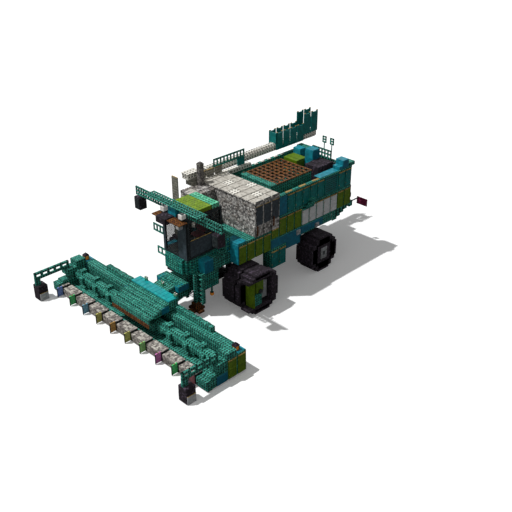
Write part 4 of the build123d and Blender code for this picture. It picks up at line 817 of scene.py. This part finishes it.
    def knife(self) -> None:
        """Builds the gravel-faced knife bar with its dark guards."""
        knife = Piece("knife_bar", GRAVEL, SLAB_STONE, DARK_STEEL, TEAL_BOARD)
        pick = random.Random(self.knife_seed)
        low, top, front, rear = self.knife_low, self.knife_top, self.knife_front, self.knife_rear
        knife.block((-self.inner, self.inner), (-9.2, rear), (low, -4.534))
        for x in range(-8, 9, 2):
            x0, x1 = x - 0.807, x + 0.807
            knife.block((x0, x1), (front, rear), (low, top - 0.03))
            for i in range(9):
                for j in range(4):
                    a, b = x0 + i * 0.179, front + j * 0.221
                    knife.block((a + 0.01, a + 0.168), (b + 0.01, b + 0.21),
                                (top - 0.04, top - pick.uniform(0.0, 0.03)),
                                pick.choice((0, 0, 1)))
        knife.rows((9.2, self.inner, front, rear, low, top - 0.02, 3),
                   (9.5, 10.5, front, self.front, low, top, 3), sides=SIDES)
        for x in range(-9, 10, 2):
            knife.rows((x - 0.125, x + 0.125, front, -9.25, low, -4.023, 2),
                       (x - 0.125, x + 0.125, front, -9.25, -4.023, -4.0))
        knife.finish("cutter_bar", "header_lift", 5)

    def dividers(self) -> None:
        """Builds the ten coloured divider plates with their dark front edges and brass tips."""
        plates = Piece("divider_plates", *DIVIDER_LIT_ENAMELS, DARK_STEEL, BRASS)
        edge, tip, nose = len(DIVIDER_LIT_ENAMELS), len(DIVIDER_LIT_ENAMELS) + 1, self.plate_front + 0.05
        for i, x in enumerate(range(-9, 10, 2)):
            # each plate's enamel is lifted as painted light
            plates.rows((x - 0.045, x + 0.045, nose, self.knife_front, -4.9, -4.0, i),
                        (x - 0.045, x + 0.045, self.plate_front, nose, -4.954, -4.05, edge),
                        (x - 0.04, x + 0.04, -10.32, -10.2, -4.02, -3.98, tip))
        plates.finish("crop_dividers", "header_lift", 3)

    def outriggers(self) -> None:
        """Builds the lattice arms and the boots with their skid plates."""
        arms = Piece("outrigger_lattice", TEAL_BOARD)
        boots = Piece("outrigger_boots", TYRE_RUBBER, SKID_STEEL, BRASS)
        tip = self.tip
        for x in (-10.0, 10.0):
            arms.lattice((x - 0.12, x + 0.12), (tip, self.mid - 0.5), (-3.0, -2.318), 0.2, 0.62)
        arms.rows((9.875, 10.125, tip, tip + 0.5, -3.545, -3.0), sides=SIDES)
        boots.rows((9.545, 10.455, tip, tip + 0.909, -4.95, -3.58),
                   (9.58, 10.42, tip + 0.035, tip + 0.874, -3.6, -3.545),
                   (9.58, 10.42, tip + 0.035, tip + 0.874, -5.0, -4.94),
                   (9.545, 9.47, tip + 0.04, tip + 0.87, -5.0, -4.26, 1),
                   (10.455, 10.53, tip + 0.04, tip + 0.87, -5.0, -4.26, 1),
                   (9.545, 9.455, tip + 0.04, tip + 0.87, -4.26, -4.228, 2),
                   (10.455, 10.545, tip + 0.04, tip + 0.87, -4.26, -4.228, 2), sides=SIDES)
        arms.finish("outrigger_arms", "header_lift")
        boots.finish("outrigger_shoes", "header_lift")

    def lanterns(self) -> None:
        """Builds the two lanterns: a foot, a glass with corner bars and a peaked cap."""
        pair = Piece("lantern_pair", DARK_STEEL, AMBER_LENS, TYRE_RUBBER)
        y, z, corner = -6.636, self.shelf, 0.19
        for x in (-10.0, 10.0):
            for half, low, high, finish in ((0.22, 0.0, 0.06, 0), (0.18, 0.06, 0.44, 1),
                                            (0.24, 0.44, 0.52, 2), (0.16, 0.52, 0.61, 2),
                                            (0.07, 0.61, 0.7, 2)):
                pair.post(x, y, half, (z + low, z + high), finish)
            for dx in SIDES:
                for dy in SIDES:
                    pair.post(x + dx * corner, y + dy * corner, 0.03, (z + 0.06, z + 0.44))
        pair.finish("lanterns", "header_lift", 4)


@dataclass
class Cab:
    """The cab: nose, roof, visor with lamps, mirrors, controls, seat, and what stands beside it."""

    half: float = 1.5
    nose_low: float = -1.045
    nose_top: float = 0.295
    roof_low: float = 4.091
    roof_top: float = 4.523

    def build(self) -> None:
        """Builds the cab's pieces."""
        self.nose()
        self.roof()
        self.visor()
        self.mirrors()
        self.station()
        self.access()
        self.rails()
        self.leg()
        self.cushion("seat_cushion", (0.0, -1.965, 2.815), (0.48, 0.42, 0.13),
                     (0.012, 0.012, 0.02))
        self.cushion("seat_back", (0.0, -1.79, 3.18), (0.46, 0.12, 0.58), (0.012, 0.018, 0.012))

    def nose(self) -> None:
        """Builds the nose in boards with stepped corners and a pierced grille."""
        nose = Piece("cab_nose", BRIGHT_BOARD, TEAL_BOARD)
        low, top, rear = self.nose_low, self.nose_top, -0.001
        for width, front in ((1.705, -3.71), (1.41, -4.0), (1.12, -4.3)):
            nose.rows((-width, width, front, rear, low, top - 0.12),
                      (-width + 0.03, width - 0.03, front + 0.03, rear, top - 0.12, top))
        nose.lattice((-0.6, 0.6), (-4.33, -4.27), (-0.8, 0.05), 0.08, 0.22, 1)
        nose.finish("cab_base")

    def roof(self) -> None:
        """Builds the lime roof plates and the patina strip behind them."""
        roof = Piece("cab_roof_boards", LIME_ENAMEL, MINT_PATINA, BROWN_BOARD)
        half, low, top = self.half, self.roof_low, self.roof_top
        for i in range(3):
            x = -half + i
            for y in (-2.98, -2.04):
                roof.block((x + 0.01, x + 0.99), (y, y + 0.92), (low + 0.08, top))
        roof.block((-half + 0.03, half - 0.03), (-2.97, -0.3), (low, top - 0.04), 2)
        for i in range(6):
            x = -half + i / 2
            roof.block((x + 0.01, x + 0.49), (-1.08, -0.26), (low + 0.04, top), 1)
        roof.finish("cab_roof")

    def visor(self) -> None:
        """Builds the visor's brown boards, its dark hood, and the lamps above and below it."""
        visor = Piece("visor_boards", BROWN_BOARD, TYRE_RUBBER, CYAN_ENAMEL)
        for i in range(4):
            y = -4.9 + i * 0.225
            visor.rows((-1.77, -1.05, y, y + 0.21, 3.87, 3.97),
                       (0.19, 1.77, y, y + 0.21, 3.87, 3.97))
        visor.rows((-1.03, 0.17, -5.08, -4.001, 3.52, 4.08, 1),
                   (-0.62, 0.35, -4.08, -3.67, 4.0, 4.83, 2))
        visor.finish("visor")
        lamps = Piece("lamp_set", CLEAR_LENS, GREY_STEEL, DARK_STEEL)
        lamps.rows((0.9, 1.4, -4.3, -3.8, 4.092, 4.15, 2),
                   (0.92, 1.38, -4.28, -3.82, 4.15, 4.54),
                   (0.99, 1.31, -4.21, -3.89, 4.54, 4.58, 1),
                   (1.05, 1.49, -4.69, -4.28, 3.41, 3.86, 1),
                   (1.11, 1.43, -4.725, -4.69, 3.48, 3.79), sides=SIDES)
        lamps.finish("work_lamps", bevel_mm=12)

    def mirrors(self) -> None:
        """Builds the long lattice with its shelf over the cab, and the mirrors at its ends."""
        bar = Piece("mirror_lattice", TEAL_BOARD, TYRE_RUBBER, DARK_STEEL)
        bar.lattice((-5.5, 5.5), (-3.67, -3.53), (4.092, 4.89), 0.13, 0.33)
        bar.lattice((-3.41, 3.41), (-4.3, -3.24), (4.89, 4.98), 0.13, 0.33)
        bar.rows((4.62, 5.38, -3.96, -3.22, 2.92, 4.03, 1),
                 (4.68, 5.32, -4.0, -3.95, 2.98, 3.94, 2),
                 (4.7, 5.3, -3.9, -3.3, 4.03, 4.092, 1), sides=SIDES)
        bar.finish("mirror_bar")

    def station(self) -> None:
        """Builds the seat's pedestal, the column with its wheel and a small screen."""
        station = Piece("driver_controls", DARK_STEEL, TYRE_RUBBER, SCREEN_GLOW, GREY_STEEL)
        rim, parts = 0.43, 12
        for i in range(parts):
            turn = math.tau * i / parts
            station.post(rim * math.cos(turn), -2.955 + rim * math.sin(turn), 0.12,
                         (2.24, 2.31), 1)
        station.rows((-0.27, 0.27, -1.69, -1.17, 0.55, 1.23, 3),
                     (-0.1, 0.1, -3.05, -2.86, 0.55, 2.27),
                     (-0.4, 0.4, -2.99, -2.92, 2.24, 2.3, 1),
                     (0.52, 0.58, -3.5, -3.1, 1.5, 2.5), (0.3, 0.72, -3.56, -3.5, 1.9, 2.5),
                     (0.34, 0.68, -3.58, -3.56, 1.95, 2.45, 2))
        station.finish("driver_station", bevel_mm=4)

    def access(self) -> None:
        """Builds the blocks beside the cab, the slabs at its front and the door's lower panel."""
        blocks = Piece("side_block_set", CYAN_ENAMEL, SIDE_SHADE_ENAMEL, TEAL_BOARD)
        blocks.rows((1.705, 2.5, -3.0, -2.0, -0.995, 0.205),
                    # finish 1, the darker blue-cyan sheets on the blocks' sides, is painted shade
                    (2.4, 2.52, -2.98, -2.02, -0.97, 0.18, 1),
                    *((1.705, 2.5, -2.0 + i * 0.5 + 0.01, -2.0 + i * 0.5 + 0.49, -0.995,
                       0.12 - 0.16 * (i % 2), 2) for i in range(4)),
                    (1.909, 3.409, 0.0, 1.0, 1.0, 1.12), (1.95, 3.49, -0.05, 0.0, -0.88, 1.0),
                    (3.409, 3.49, 0.0, 0.06, -0.88, 1.0, 1), sides=SIDES)
        blocks.finish("side_blocks", bevel_mm=8)
        slab = Piece("cab_front_slab", CHARCOAL_ENAMEL, BRASS)
        slab.rows((0.45, 1.5, -4.04, -4.0, 0.3, 3.84), (0.45, 1.5, -4.045, -4.0, 3.84, 3.86, 1),
                  (-1.5, -1.2, -4.03, -4.0, 0.3, 3.84), (-1.48, 1.48, -3.96, -2.9, 4.091, 4.18))
        slab.finish(bevel_mm=5)
        door = Piece("door_panel", CHARCOAL_ENAMEL, BRASS)
        door.rows((1.6, 1.66, -3.72, -1.4, 0.64, 2.1), (1.6, 1.67, -3.72, -1.4, 2.1, 2.15, 1))
        door.finish(body="cab_door", bevel_mm=4)

    def rails(self) -> None:
        """Builds the ladder on the left, the guard rails and the hand rails on the right."""
        rails = Piece("ladder_and_rails", TEAL_BOARD, BRIGHT_BOARD)
        rails.rows(*((a, a + 0.1, -3.364, -3.0, -3.818, -0.86) for a in (1.75, 2.4)))
        for i in range(7):
            z = -3.7 + i * 0.44
            rails.rows((1.85, 2.4, -3.364, -3.02, z, z + 0.09, i % 2))
        for side in SIDES:
            rails.lattice((side * 2.4, side * 2.5), (-0.95, -0.01), (0.205, 1.61), 0.11, 0.4)
        rails.lattice((-2.886, -1.5), (-4.0, -3.9), (1.7, 2.41), 0.14, 0.42)
        rails.lattice((-2.886, -1.705), (-3.709, -3.609), (-0.636, 0.068), 0.14, 0.42)
        rails.finish("ladder", bevel_mm=4)

    def leg(self) -> None:
        """Builds the support leg with its crossed foot, the hanging lamp and the hung boards."""
        leg = Piece("support_leg_set", BROWN_BOARD, TEAL_BOARD, AMBER_LENS, DARK_STEEL,
                    BRIGHT_BOARD)
        x, y, ankle, sole = 1.784, -3.477, -4.36, -4.59
        leg.post(x, y, 0.17, (-3.95, -1.045), 1)
        leg.post(x, y, 0.3, (ankle, -3.75))
        leg.rows((x - 0.72, x + 0.72, y - 0.3, y + 0.3, sole, ankle),
                 *((x - 0.3, x + 0.3, y + sign * 0.3, y + sign * 0.72, sole, ankle)
                   for sign in SIDES),
                 (1.93, 2.07, -1.9, -1.78, -3.42, -0.995, 1),
                 (1.86, 2.14, -1.98, -1.7, -3.42, -3.36, 3),
                 (1.87, 2.13, -1.97, -1.71, -3.68, -3.42, 2),
                 *((2.28, 2.36, -2.95, -1.3, -2.6 + i * 0.4, -2.22 + i * 0.4, 1 if i % 2 else 4)
                   for i in range(4)))
        leg.finish("support_leg", bevel_mm=5)

    def cushion(self, name: str, middle: Spot, size: Spot, crown: Spot) -> None:
        """Makes a crowned cushion whose sides pull in between its corners, with two sewn channels.

        Args:
            name: the piece's name.
            middle: its middle, in metres.
            size: its length along each axis, in metres.
            crown: how far each pair of faces swells at its middle, in metres.
        """
        mesh = bmesh.new()
        bmesh.ops.create_cube(mesh, size=2.0)
        bmesh.ops.subdivide_edges(mesh, edges=mesh.edges[:], cuts=11, use_grid_fill=True)
        channel, channel_half, channel_deep, pull = 0.36, 0.09, 0.35, 0.06
        for vert in mesh.verts:
            place = vert.co.copy()
            for axis in range(3):
                across = [place[i] for i in range(3) if i != axis]
                swell = crown[axis] * (1 - across[0] ** 4) * (1 - across[1] ** 4)
                near = max(0.0, 1 - abs(abs(place[0]) - channel) / channel_half)
                seam = channel_deep * crown[axis] * near
                rounding = pull * sum(part ** 6 for part in across)
                reach = size[axis] / 2 * (1 - rounding) - crown[axis] + swell - seam
                vert.co[axis] = middle[axis] + place[axis] * reach
        bmesh.ops.smooth_vert(mesh, verts=mesh.verts[:], factor=0.4, use_axis_x=True,
                              use_axis_y=True, use_axis_z=True)
        made = Piece.place(name, mesh, (SEAT_VINYL,))
        for face in made.data.polygons:
            face.use_smooth = True
        soft = made.modifiers.new("soft", "SUBSURF")
        soft.levels = soft.render_levels = 1
        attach(made, "chassis")
        log.info("%s: %d faces on chassis", name, len(made.data.polygons))


@dataclass
class FrontWheel:
    """A twin front wheel: stepped treads, and an olive hub seen through the outer ring."""

    side: int
    name: str
    axle_y: float = 0.9
    axle_z: float = -3.0909
    radius: float = 1.909
    flat: float = 0.886

    def corner(self) -> Span:
        """Works out the tread's steps between its flats, whose corners lie on one circle.

        Returns:
            How far the outer and the inner step lie from the axle.
        """
        reach = math.hypot(self.radius, self.flat)
        outer = (self.radius + reach / math.sqrt(2)) / 2
        return outer, math.sqrt(reach ** 2 - outer ** 2)

    def tread(self, piece: Piece, x0: float, x1: float, hollow: float = 0.0) -> None:
        """Adds a stepped disc, with a hollow middle if wanted.

        Args:
            piece: the piece that it belongs to.
            x0: where it starts across.
            x1: where it ends across.
            hollow: half the width of a square hole.
        """
        outer, inner = self.corner()
        x, y, z = (self.side * x0, self.side * x1), self.axle_y, self.axle_z
        for a, b in ((self.radius, self.flat), (outer, inner), (inner, outer),
                     (self.flat, self.radius)):
            if not hollow:
                piece.block(x, (y - a, y + a), (z - b, z + b))
                continue
            for sign in SIDES:
                if a > hollow:
                    piece.block(x, (y + sign * hollow, y + sign * a), (z - b, z + b))
                if b > hollow:
                    near = min(a, hollow)
                    piece.block(x, (y - near, y + near), (z + sign * hollow, z + sign * b))

    def build(self) -> None:
        """Builds the tyres, open at the front of their outermost ring, and the hub in it."""
        side, y, z = self.side, self.axle_y, self.axle_z
        tyre = Piece(f"front_tread_{self.name}", TYRE_RUBBER)
        for x0, x1 in ((2.41, 3.12), (3.15, 3.86), (4.05, 4.49)):
            self.tread(tyre, x0, x1)
        ring, tall, deep = (side * 4.5, side * 5.5), 1.4545, 1.0909
        outer, inner = self.corner()
        for sign in SIDES:
            for a, b in ((outer, inner), (inner, outer), (self.flat, self.radius)):
                tyre.block(ring, (y - a, y + a), (z + sign * tall, z + sign * b))
        for a, b, c in ((deep, inner, tall), (inner, outer, inner),
                        (outer, self.radius, self.flat)):
            tyre.block(ring, (y + a, y + b), (z - c, z + c))
        tyre.finish(f"front_tyre_{self.name}", f"front_wheel_{self.name}", 10)
        rim = Piece(f"front_hub_{self.name}", OLIVE_ENAMEL, TEAL_BOARD, GREY_STEEL, DARK_STEEL,
                    BRASS)
        rim.rows((4.5, 4.8, -1.08, 1.08, -1.44, 1.44, 3), (4.5, 5.45, -1.09, -0.95, -1.44, 1.44),
                 (4.6, 5.49, -1.0, -0.92, -1.39, -0.08), (4.6, 5.49, -1.0, -0.92, 0.07, 1.38),
                 (4.8, 5.2, -0.5, 0.4, -0.1, 1.4), (4.8, 5.22, -0.5, 0.4, 1.4, 1.44, 4),
                 (4.8, 5.3, -1.0, 0.1, -1.44, -0.21, 1), (4.8, 5.1, 0.02, 0.9, -0.9, 0.8, 2),
                 (5.1, 5.16, 0.15, 0.77, -0.75, 0.65, 2), (5.16, 5.2, 0.32, 0.6, -0.45, 0.35, 2),
                 sides=(side,), at=(y, z))
        rim.finish(f"front_rim_{self.name}", f"front_wheel_{self.name}", 8)


@dataclass
class RearWheel(FrontWheel):
    """A steered rear wheel: a stepped tread with an embossed plate over its hub."""

    axle_y: float = 10.2
    axle_z: float = -3.2045
    radius: float = 1.795
    flat: float = 0.773

    def build(self) -> None:
        """Builds the tread and the hub's plate."""
        tyre = Piece(f"rear_tread_{self.name}", TYRE_RUBBER)
        self.tread(tyre, 2.523, 3.2)
        self.tread(tyre, 3.23, 3.9)
        self.tread(tyre, 3.93, 4.477, hollow=0.9)
        tyre.finish(f"rear_tyre_{self.name}", f"rear_wheel_{self.name}", 10)
        hub = Piece(f"rear_hub_{self.name}", TYRE_RUBBER, GREY_STEEL, DARK_STEEL)
        hub.rows((3.9, 4.4, -0.9, 0.9, -0.9, 0.9), (4.4, 4.43, -0.88, 0.88, -0.88, -0.46),
                 (4.4, 4.43, -0.88, 0.88, -0.42, 0.42), (4.4, 4.43, -0.88, 0.88, 0.46, 0.88),
                 (4.43, 4.455, -0.42, 0.42, -0.57, 0.57, 1),
                 (4.455, 4.47, -0.3, 0.3, -0.44, 0.44, 1),
                 (4.47, 4.477, -0.12, 0.12, -0.2, 0.2, 2),
                 sides=(self.side,), at=(self.axle_y, self.axle_z))
        hub.finish(f"rear_rim_{self.name}", f"rear_wheel_{self.name}", 8)


@dataclass
class RearDeck:
    """The bay behind the tank: hopper grid, engine covers, boxes, stack, plates and rail."""

    deck: float = 3.9545
    floor: float = 2.5

    def build(self) -> None:
        """Builds the grid, the engine's covers, the edge and the trim along it."""
        self.grid()
        self.engine()
        self.edge()
        self.marker()
        trim = Piece("deck_trim", BRIGHT_BOARD, BRASS, WHITE_STONE, SIDE_SHADE_ENAMEL)
        deck = self.deck
        for i in range(9):
            y = 5.05 + i * 0.9
            trim.rows((3.17, 3.4, y, y + 0.82, deck, deck + 0.05, i % 2),
                      (-3.4, -3.17, y, y + 0.42, deck, deck + 0.05, 2))
        for i in range(5):
            x = -1.9 + i * 0.77
            trim.rows((x, x + 0.7, 5.62, 6.2, 4.182, 4.24))
        # the darker blue-cyan sheet on the box's side is painted shade
        trim.rows((3.409, 3.44, 13.72, 14.48, 4.0, 4.76, 3))
        trim.finish(bevel_mm=4)

    def engine(self) -> None:
        """Builds the engine's dark covers, the cyan fuel tank and the olive box beside it."""
        engine = Piece("engine_covers", TYRE_RUBBER, SIDE_SHADE_ENAMEL, CYAN_ENAMEL, OLIVE_ENAMEL)
        floor = self.floor
        for i in range(2):
            for j in range(3):
                x, y, top = 0.51 + i * 0.8, 11.63 + j * 0.72, 4.27 + 0.03 * ((i + j) % 2)
                engine.rows((x, x + 0.78, y, y + 0.7, floor, top))
        for i in range(3):
            y = 11.56 + i * 0.48
            engine.rows((-2.2, -0.53, y, y + 0.46, floor, 4.25 + 0.02 * (i % 2), 3))
        engine.rows((-0.5, 0.5, 12.7, 13.7, floor, 5.2, 2),
                    (-0.46, 0.46, 12.74, 13.66, 5.2, 5.25, 2),
                    # the thin sheet on the fuel tank's side is the darker blue-cyan, painted shade
                    (0.5, 0.503, 12.75, 13.65, 4.3, 5.15, 1),
                    (-2.3, -1.4, 13.02, 13.79, floor, 4.8, 2))
        engine.finish("engine_block")

    def edge(self) -> None:
        """Builds what stands along the right edge and at the back."""
        edge = Piece("edge_set", SOOT_STEEL, BRASS, TEAL_BOARD, GREY_BOARD, CYAN_ENAMEL,
                     WHITE_STONE, TEAL_ENAMEL)
        floor, deck = self.floor, self.deck
        edge.rows(
            # the exhaust stack with its collar
            (-3.3, -2.84, 1.45, 1.91, 1.0, 6.15), (-3.32, -2.82, 1.43, 1.93, 6.0, 6.08, 3),
            (-3.22, -2.92, 1.53, 1.83, 6.15, 6.23),
            # three plates with brass tops, and the plate at the rail's rear end
            *((-3.41, -3.32, y, y + 0.84, 4.38, 5.08, 3) for y in (1.7, 2.695, 3.69)),
            *((-3.42, -3.31, y + 0.01, y + 0.83, 5.08, 5.12, 1) for y in (1.7, 2.695, 3.69)),
            (-3.41, -3.32, 6.5, 7.4, deck, 5.12, 6),
            # the tall plate beside the cab
            (-3.55, -2.75, -1.2, -1.11, 0.02, 5.64, 3), (-3.54, -2.76, -1.21, -1.1, 5.64, 5.68, 1),
            (-2.76, -2.47, -1.25, -1.05, 0.0, 0.17, 2),
            # the slabs over the auger's elbow
            (-4.45, -3.55, 0.6, 2.1, 5.08, 5.2, 5), (-4.4, -3.6, 0.65, 2.05, 4.62, 5.02, 5),
            (-4.2, -3.7, 0.9, 1.8, 5.0, 5.1, 3), (-4.2, -3.35, 0.9, 1.8, 4.05, 4.62, 3),
            # the boxes on the rear deck's left
            (2.5, 3.409, 13.7, 14.5, deck, 4.78, 4), (2.6, 3.4, 13.2, 13.69, deck, 4.295, 4),
            (2.6, 3.4, 10.5, 13.1, deck, 4.02, 4))
        edge.lattice((-3.41, -3.32), (3.5, 7.4), (5.12, 5.9), 0.16, 0.42, 2)
        edge.lattice((-1.2, 1.2), (14.55, 14.67), (floor, 4.9), 0.14, 0.4, 2)
        for x in (0.25, 1.18):
            edge.rows((x - 0.04, x + 0.04, 14.58, 14.66, 4.8, 5.6, 2))
            edge.lattice((x - 0.24, x + 0.24), (14.57, 14.67), (5.51, 6.17), 0.13, 0.3, 2)
        edge.finish(bevel_mm=5)

    def marker(self) -> None:
        """Builds the maroon marker plate on its rod behind the body."""
        marker = Piece("rear_marker_plate", MAROON_ENAMEL, DARK_STEEL)
        marker.lattice((2.95, 4.2), (16.76, 16.86), (-0.7, 0.04), 0.16, 0.3)
        marker.rows((2.97, 4.18, 16.78, 16.84, -0.68, 0.02),
                    (3.1, 3.18, 15.0, 16.78, -0.09, 0.02, 1))
        marker.finish(bevel_mm=4)

    def grid(self) -> None:
        """Builds the hopper's lid: teal boards, a rim and crossed slats with square holes."""
        grid = Piece("hopper_grid", BRONZE, BROWN_BOARD, TEAL_BOARD)
        low, top, x0, x1, y0, y1, rim, bar = 4.197, 4.305, -2.0, 2.0, 6.25, 10.92, 0.16, 0.09
        for i in range(5):
            x = x0 + i * 0.8
            grid.rows((x + 0.01, x + 0.79, 5.56, 6.22, low, top - 0.02 * (i % 2), 2))
        grid.rows((x0, x1, y0, y0 + rim, low, top), (x0, x1, y1 - rim, y1, low, top),
                  (x0, x0 + rim, y0 + rim, y1 - rim, low, top),
                  (x1 - rim, x1, y0 + rim, y1 - rim, low, top),
                  (-2.13, -1.9, 5.94, 6.14, low, top), (-2.13, -1.9, 10.4, 10.6, low, top))
        for i in range(1, 7):
            x = x0 + rim / 2 + i * (x1 - x0 - rim) / 7
            grid.rows((x - bar, x + bar, y0 + rim, y1 - rim, low, top - 0.01, 1))
        for i in range(1, 8):
            y = y0 + rim / 2 + i * (y1 - y0 - rim) / 8
            grid.rows((x0 + rim, x1 - rim, y - bar, y + bar, low, top - 0.02))
        grid.finish("hopper_lid", "hopper_lid", 5)


@dataclass
class UnloadAuger:
    """The unloading auger: a studded pale tube, its hood in slit panels and the raised spout."""

    x: float = -4.0909
    half: float = 0.5227
    shell: float = 0.09
    rise: float = 6.2
    slit: float = 0.068
    horn: float = 0.22
    tube: float = 0.39545
    tube_z: float = 4.659

    def panels(self, piece: Piece, y: Span, count: int, z: Span, low: float) -> None:
        """Adds both side walls as a bottom rail with stepped panels that stand apart by slits.

        Args:
            piece: the piece that they belong to.
            y: from and to along.
            count: the number of panels.
            z: the wall's bottom and top.
            low: where the slits begin.
        """
        pitch, horn, top = (y[1] - y[0]) / count, self.horn, z[1]
        for side in SIDES:
            near, far = self.x + side * (self.half - self.shell), self.x + side * self.half
            piece.rows((near, far, *y, z[0], low))
            for i in range(count):
                a = y[0] + i * pitch + (self.slit if i else 0)
                b = y[0] + (i + 1) * pitch - (self.slit if i < count - 1 else 0)
                piece.rows((near, far, a, b, low, top - 0.12),
                           *((near, far, c, c + horn, top - 0.12, top - 0.03)
                             for c in (a, b - horn)),
                           *((near, far, c, c + horn, top - 0.03, top, 1)
                             for c in (a, b - horn)),
                           (far - side * 0.02, far + side * 0.012, a + 0.08, b - 0.08,
                            low + 0.1, top - 0.3))

    def build(self) -> None:
        """Builds the hood, the spout and the studs on the tube."""
        hood = Piece("auger_hood_panels", TEAL_ENAMEL, BRASS, BROWN_BOARD)
        self.panels(hood, (11.95, 15.95), 4, (4.39, self.rise), 4.66)
        self.panels(hood, (15.95, 18.0), 2, (4.98, 7.159), 5.25)
        low, high = self.x - self.half, self.x + self.half
        hood.rows((low, high, 11.95, 12.04, 5.06, self.rise - 0.1),
                  (low, high, 17.91, 18.0, 5.06, self.rise),
                  (low + 0.1, high - 0.1, 12.1, 12.9, 5.06, 5.35, 2),
                  (low + 0.1, high - 0.1, 15.95, 16.9, 5.06, 5.5, 2))
        hood.finish("unload_hood", "unload_auger", 5)
        studs = Piece("tube_studs", DARK_STEEL, GREY_STEEL)
        top, face = self.tube_z + self.tube, self.x + self.tube
        for i in range(22):
            y = 3.6 + i * 0.38
            studs.rows(*((self.x + side * 0.09, self.x + side * 0.16, y, y + 0.09, top - 0.01,
                          top + 0.012) for side in SIDES),
                       (face - 0.01, face + 0.012, y + 0.19, y + 0.28, 4.62, 4.69))
        for i in range(9):
            y = 3.2 + i * 1.0
            studs.rows((self.x - 0.18, self.x + 0.18, y, y + 0.06, top - 0.01, top + 0.02, 1))
        studs.finish(body="unload_auger", bevel_mm=2)


@dataclass
class Studio:
    """The floor, the lights and the camera."""

    camera_at: Spot = (19.615, -18.502, 16.003)
    camera_turn_deg: Spot = (61.06, 0.0, 44.97)
    lens_mm: float = 53.56
    sun_from: Spot = (-0.36, -0.40, 1.0)
    sun_strength: float = 2.8
    sun_spread_deg: float = 1.2
    fill_from: Spot = (0.0, -1.0, 0.25)
    fill_strength: float = 0.35
    fill_spread_deg: float = 60.0
    sky: float = 0.22
    floor_size: float = 400.0
    floor_grey: float = 0.12  # what the floor sends back up, and the haze that lifts its shadow

    def build(self) -> None:
        """Builds the camera, the sun, the fill light, the sky and the floor."""
        scene = bpy.context.scene
        scene.view_settings.view_transform = "Standard"
        camera = bpy.data.objects.new("camera", bpy.data.cameras.new("camera"))
        camera.location = self.camera_at
        camera.rotation_euler = [math.radians(a) for a in self.camera_turn_deg]
        camera.data.lens = self.lens_mm
        camera.data.sensor_width = 36.0
        camera.data.clip_end = 500.0
        scene.collection.objects.link(camera)
        scene.camera = camera
        for name, start, strength, spread in (
                ("sun", self.sun_from, self.sun_strength, self.sun_spread_deg),
                ("fill", self.fill_from, self.fill_strength, self.fill_spread_deg)):
            lamp = bpy.data.objects.new(name, bpy.data.lights.new(name, "SUN"))
            lamp.data.energy = strength
            lamp.data.angle = math.radians(spread)
            lamp.rotation_euler = Vector(start).to_track_quat("Z", "Y").to_euler()
            scene.collection.objects.link(lamp)
        self.air(scene)
        self.floor(scene)

    def air(self, scene: bpy.types.Scene) -> None:
        """Gives the world a soft sky that the camera, glass and metal see as white.

        Args:
            scene: the scene.
        """
        world = bpy.data.worlds.new("studio")
        scene.world = world
        world.use_nodes = True
        world.node_tree.nodes.clear()
        node = partial(add_node, world.node_tree)
        path = node("LightPath")
        seen = node("Math", {"operation": "MAXIMUM"}, {0: path.outputs["Is Camera Ray"],
                                                       1: path.outputs["Is Glossy Ray"]})
        seen = node("Math", {"operation": "MAXIMUM"},
                    {0: seen, 1: path.outputs["Is Transmission Ray"]})
        level = node("MapRange", {3: self.sky, 4: 1.0}, {0: seen})
        node("OutputWorld", {}, {0: node("Background", {0: WHITE}, {1: level})})

    def floor(self, scene: bpy.types.Scene) -> None:
        """Lays a pale floor that keeps the shadow and sends little light back up.

        Args:
            scene: the scene.
        """
        mesh = bmesh.new()
        bmesh.ops.create_grid(mesh, x_segments=1, y_segments=1, size=self.floor_size / 2)
        floor = Piece.place("floor", mesh, ())
        material = bpy.data.materials.new("pale_floor")
        material.use_nodes = True
        material.node_tree.nodes.clear()
        node = partial(add_node, material.node_tree)
        grey = (self.floor_grey, self.floor_grey, self.floor_grey, 1.0)
        seen = node("LightPath").outputs["Is Camera Ray"]
        colour = node("Mix", {"data_type": "RGBA", 6: grey, 7: WHITE}, {0: seen})
        ground = node("BsdfDiffuse", {}, {0: colour.outputs[2]})
        haze = node("Emission", {"Color": grey}, {"Strength": seen})
        node("OutputMaterial", {}, {0: node("AddShader", {}, {0: ground, 1: haze})})
        floor.data.materials.append(material)


def colour_nodes() -> None:
    """Gives every CAD node its finish."""
    for finish, names in NODE_FINISHES.items():
        for name in names.split():
            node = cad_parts[name]
            if not node.material_slots:
                node.data.materials.append(paint(finish))
            for slot in node.material_slots:
                slot.material = paint(finish)


def main() -> None:
    """Builds the machine's sub-assemblies in order, then the studio."""
    logging.basicConfig(level=logging.INFO)
    colour_nodes()
    wheels = [wheel(side, name) for wheel in (FrontWheel, RearWheel)
              for side, name in ((1, "left"), (-1, "right"))]
    for part in (SidePanels(), BodyShell(), GrainTank(), Header(), Cab(), *wheels, RearDeck(),
                 UnloadAuger(), Studio()):
        part.build()


if __name__ == "__main__":
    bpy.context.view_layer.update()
    main()
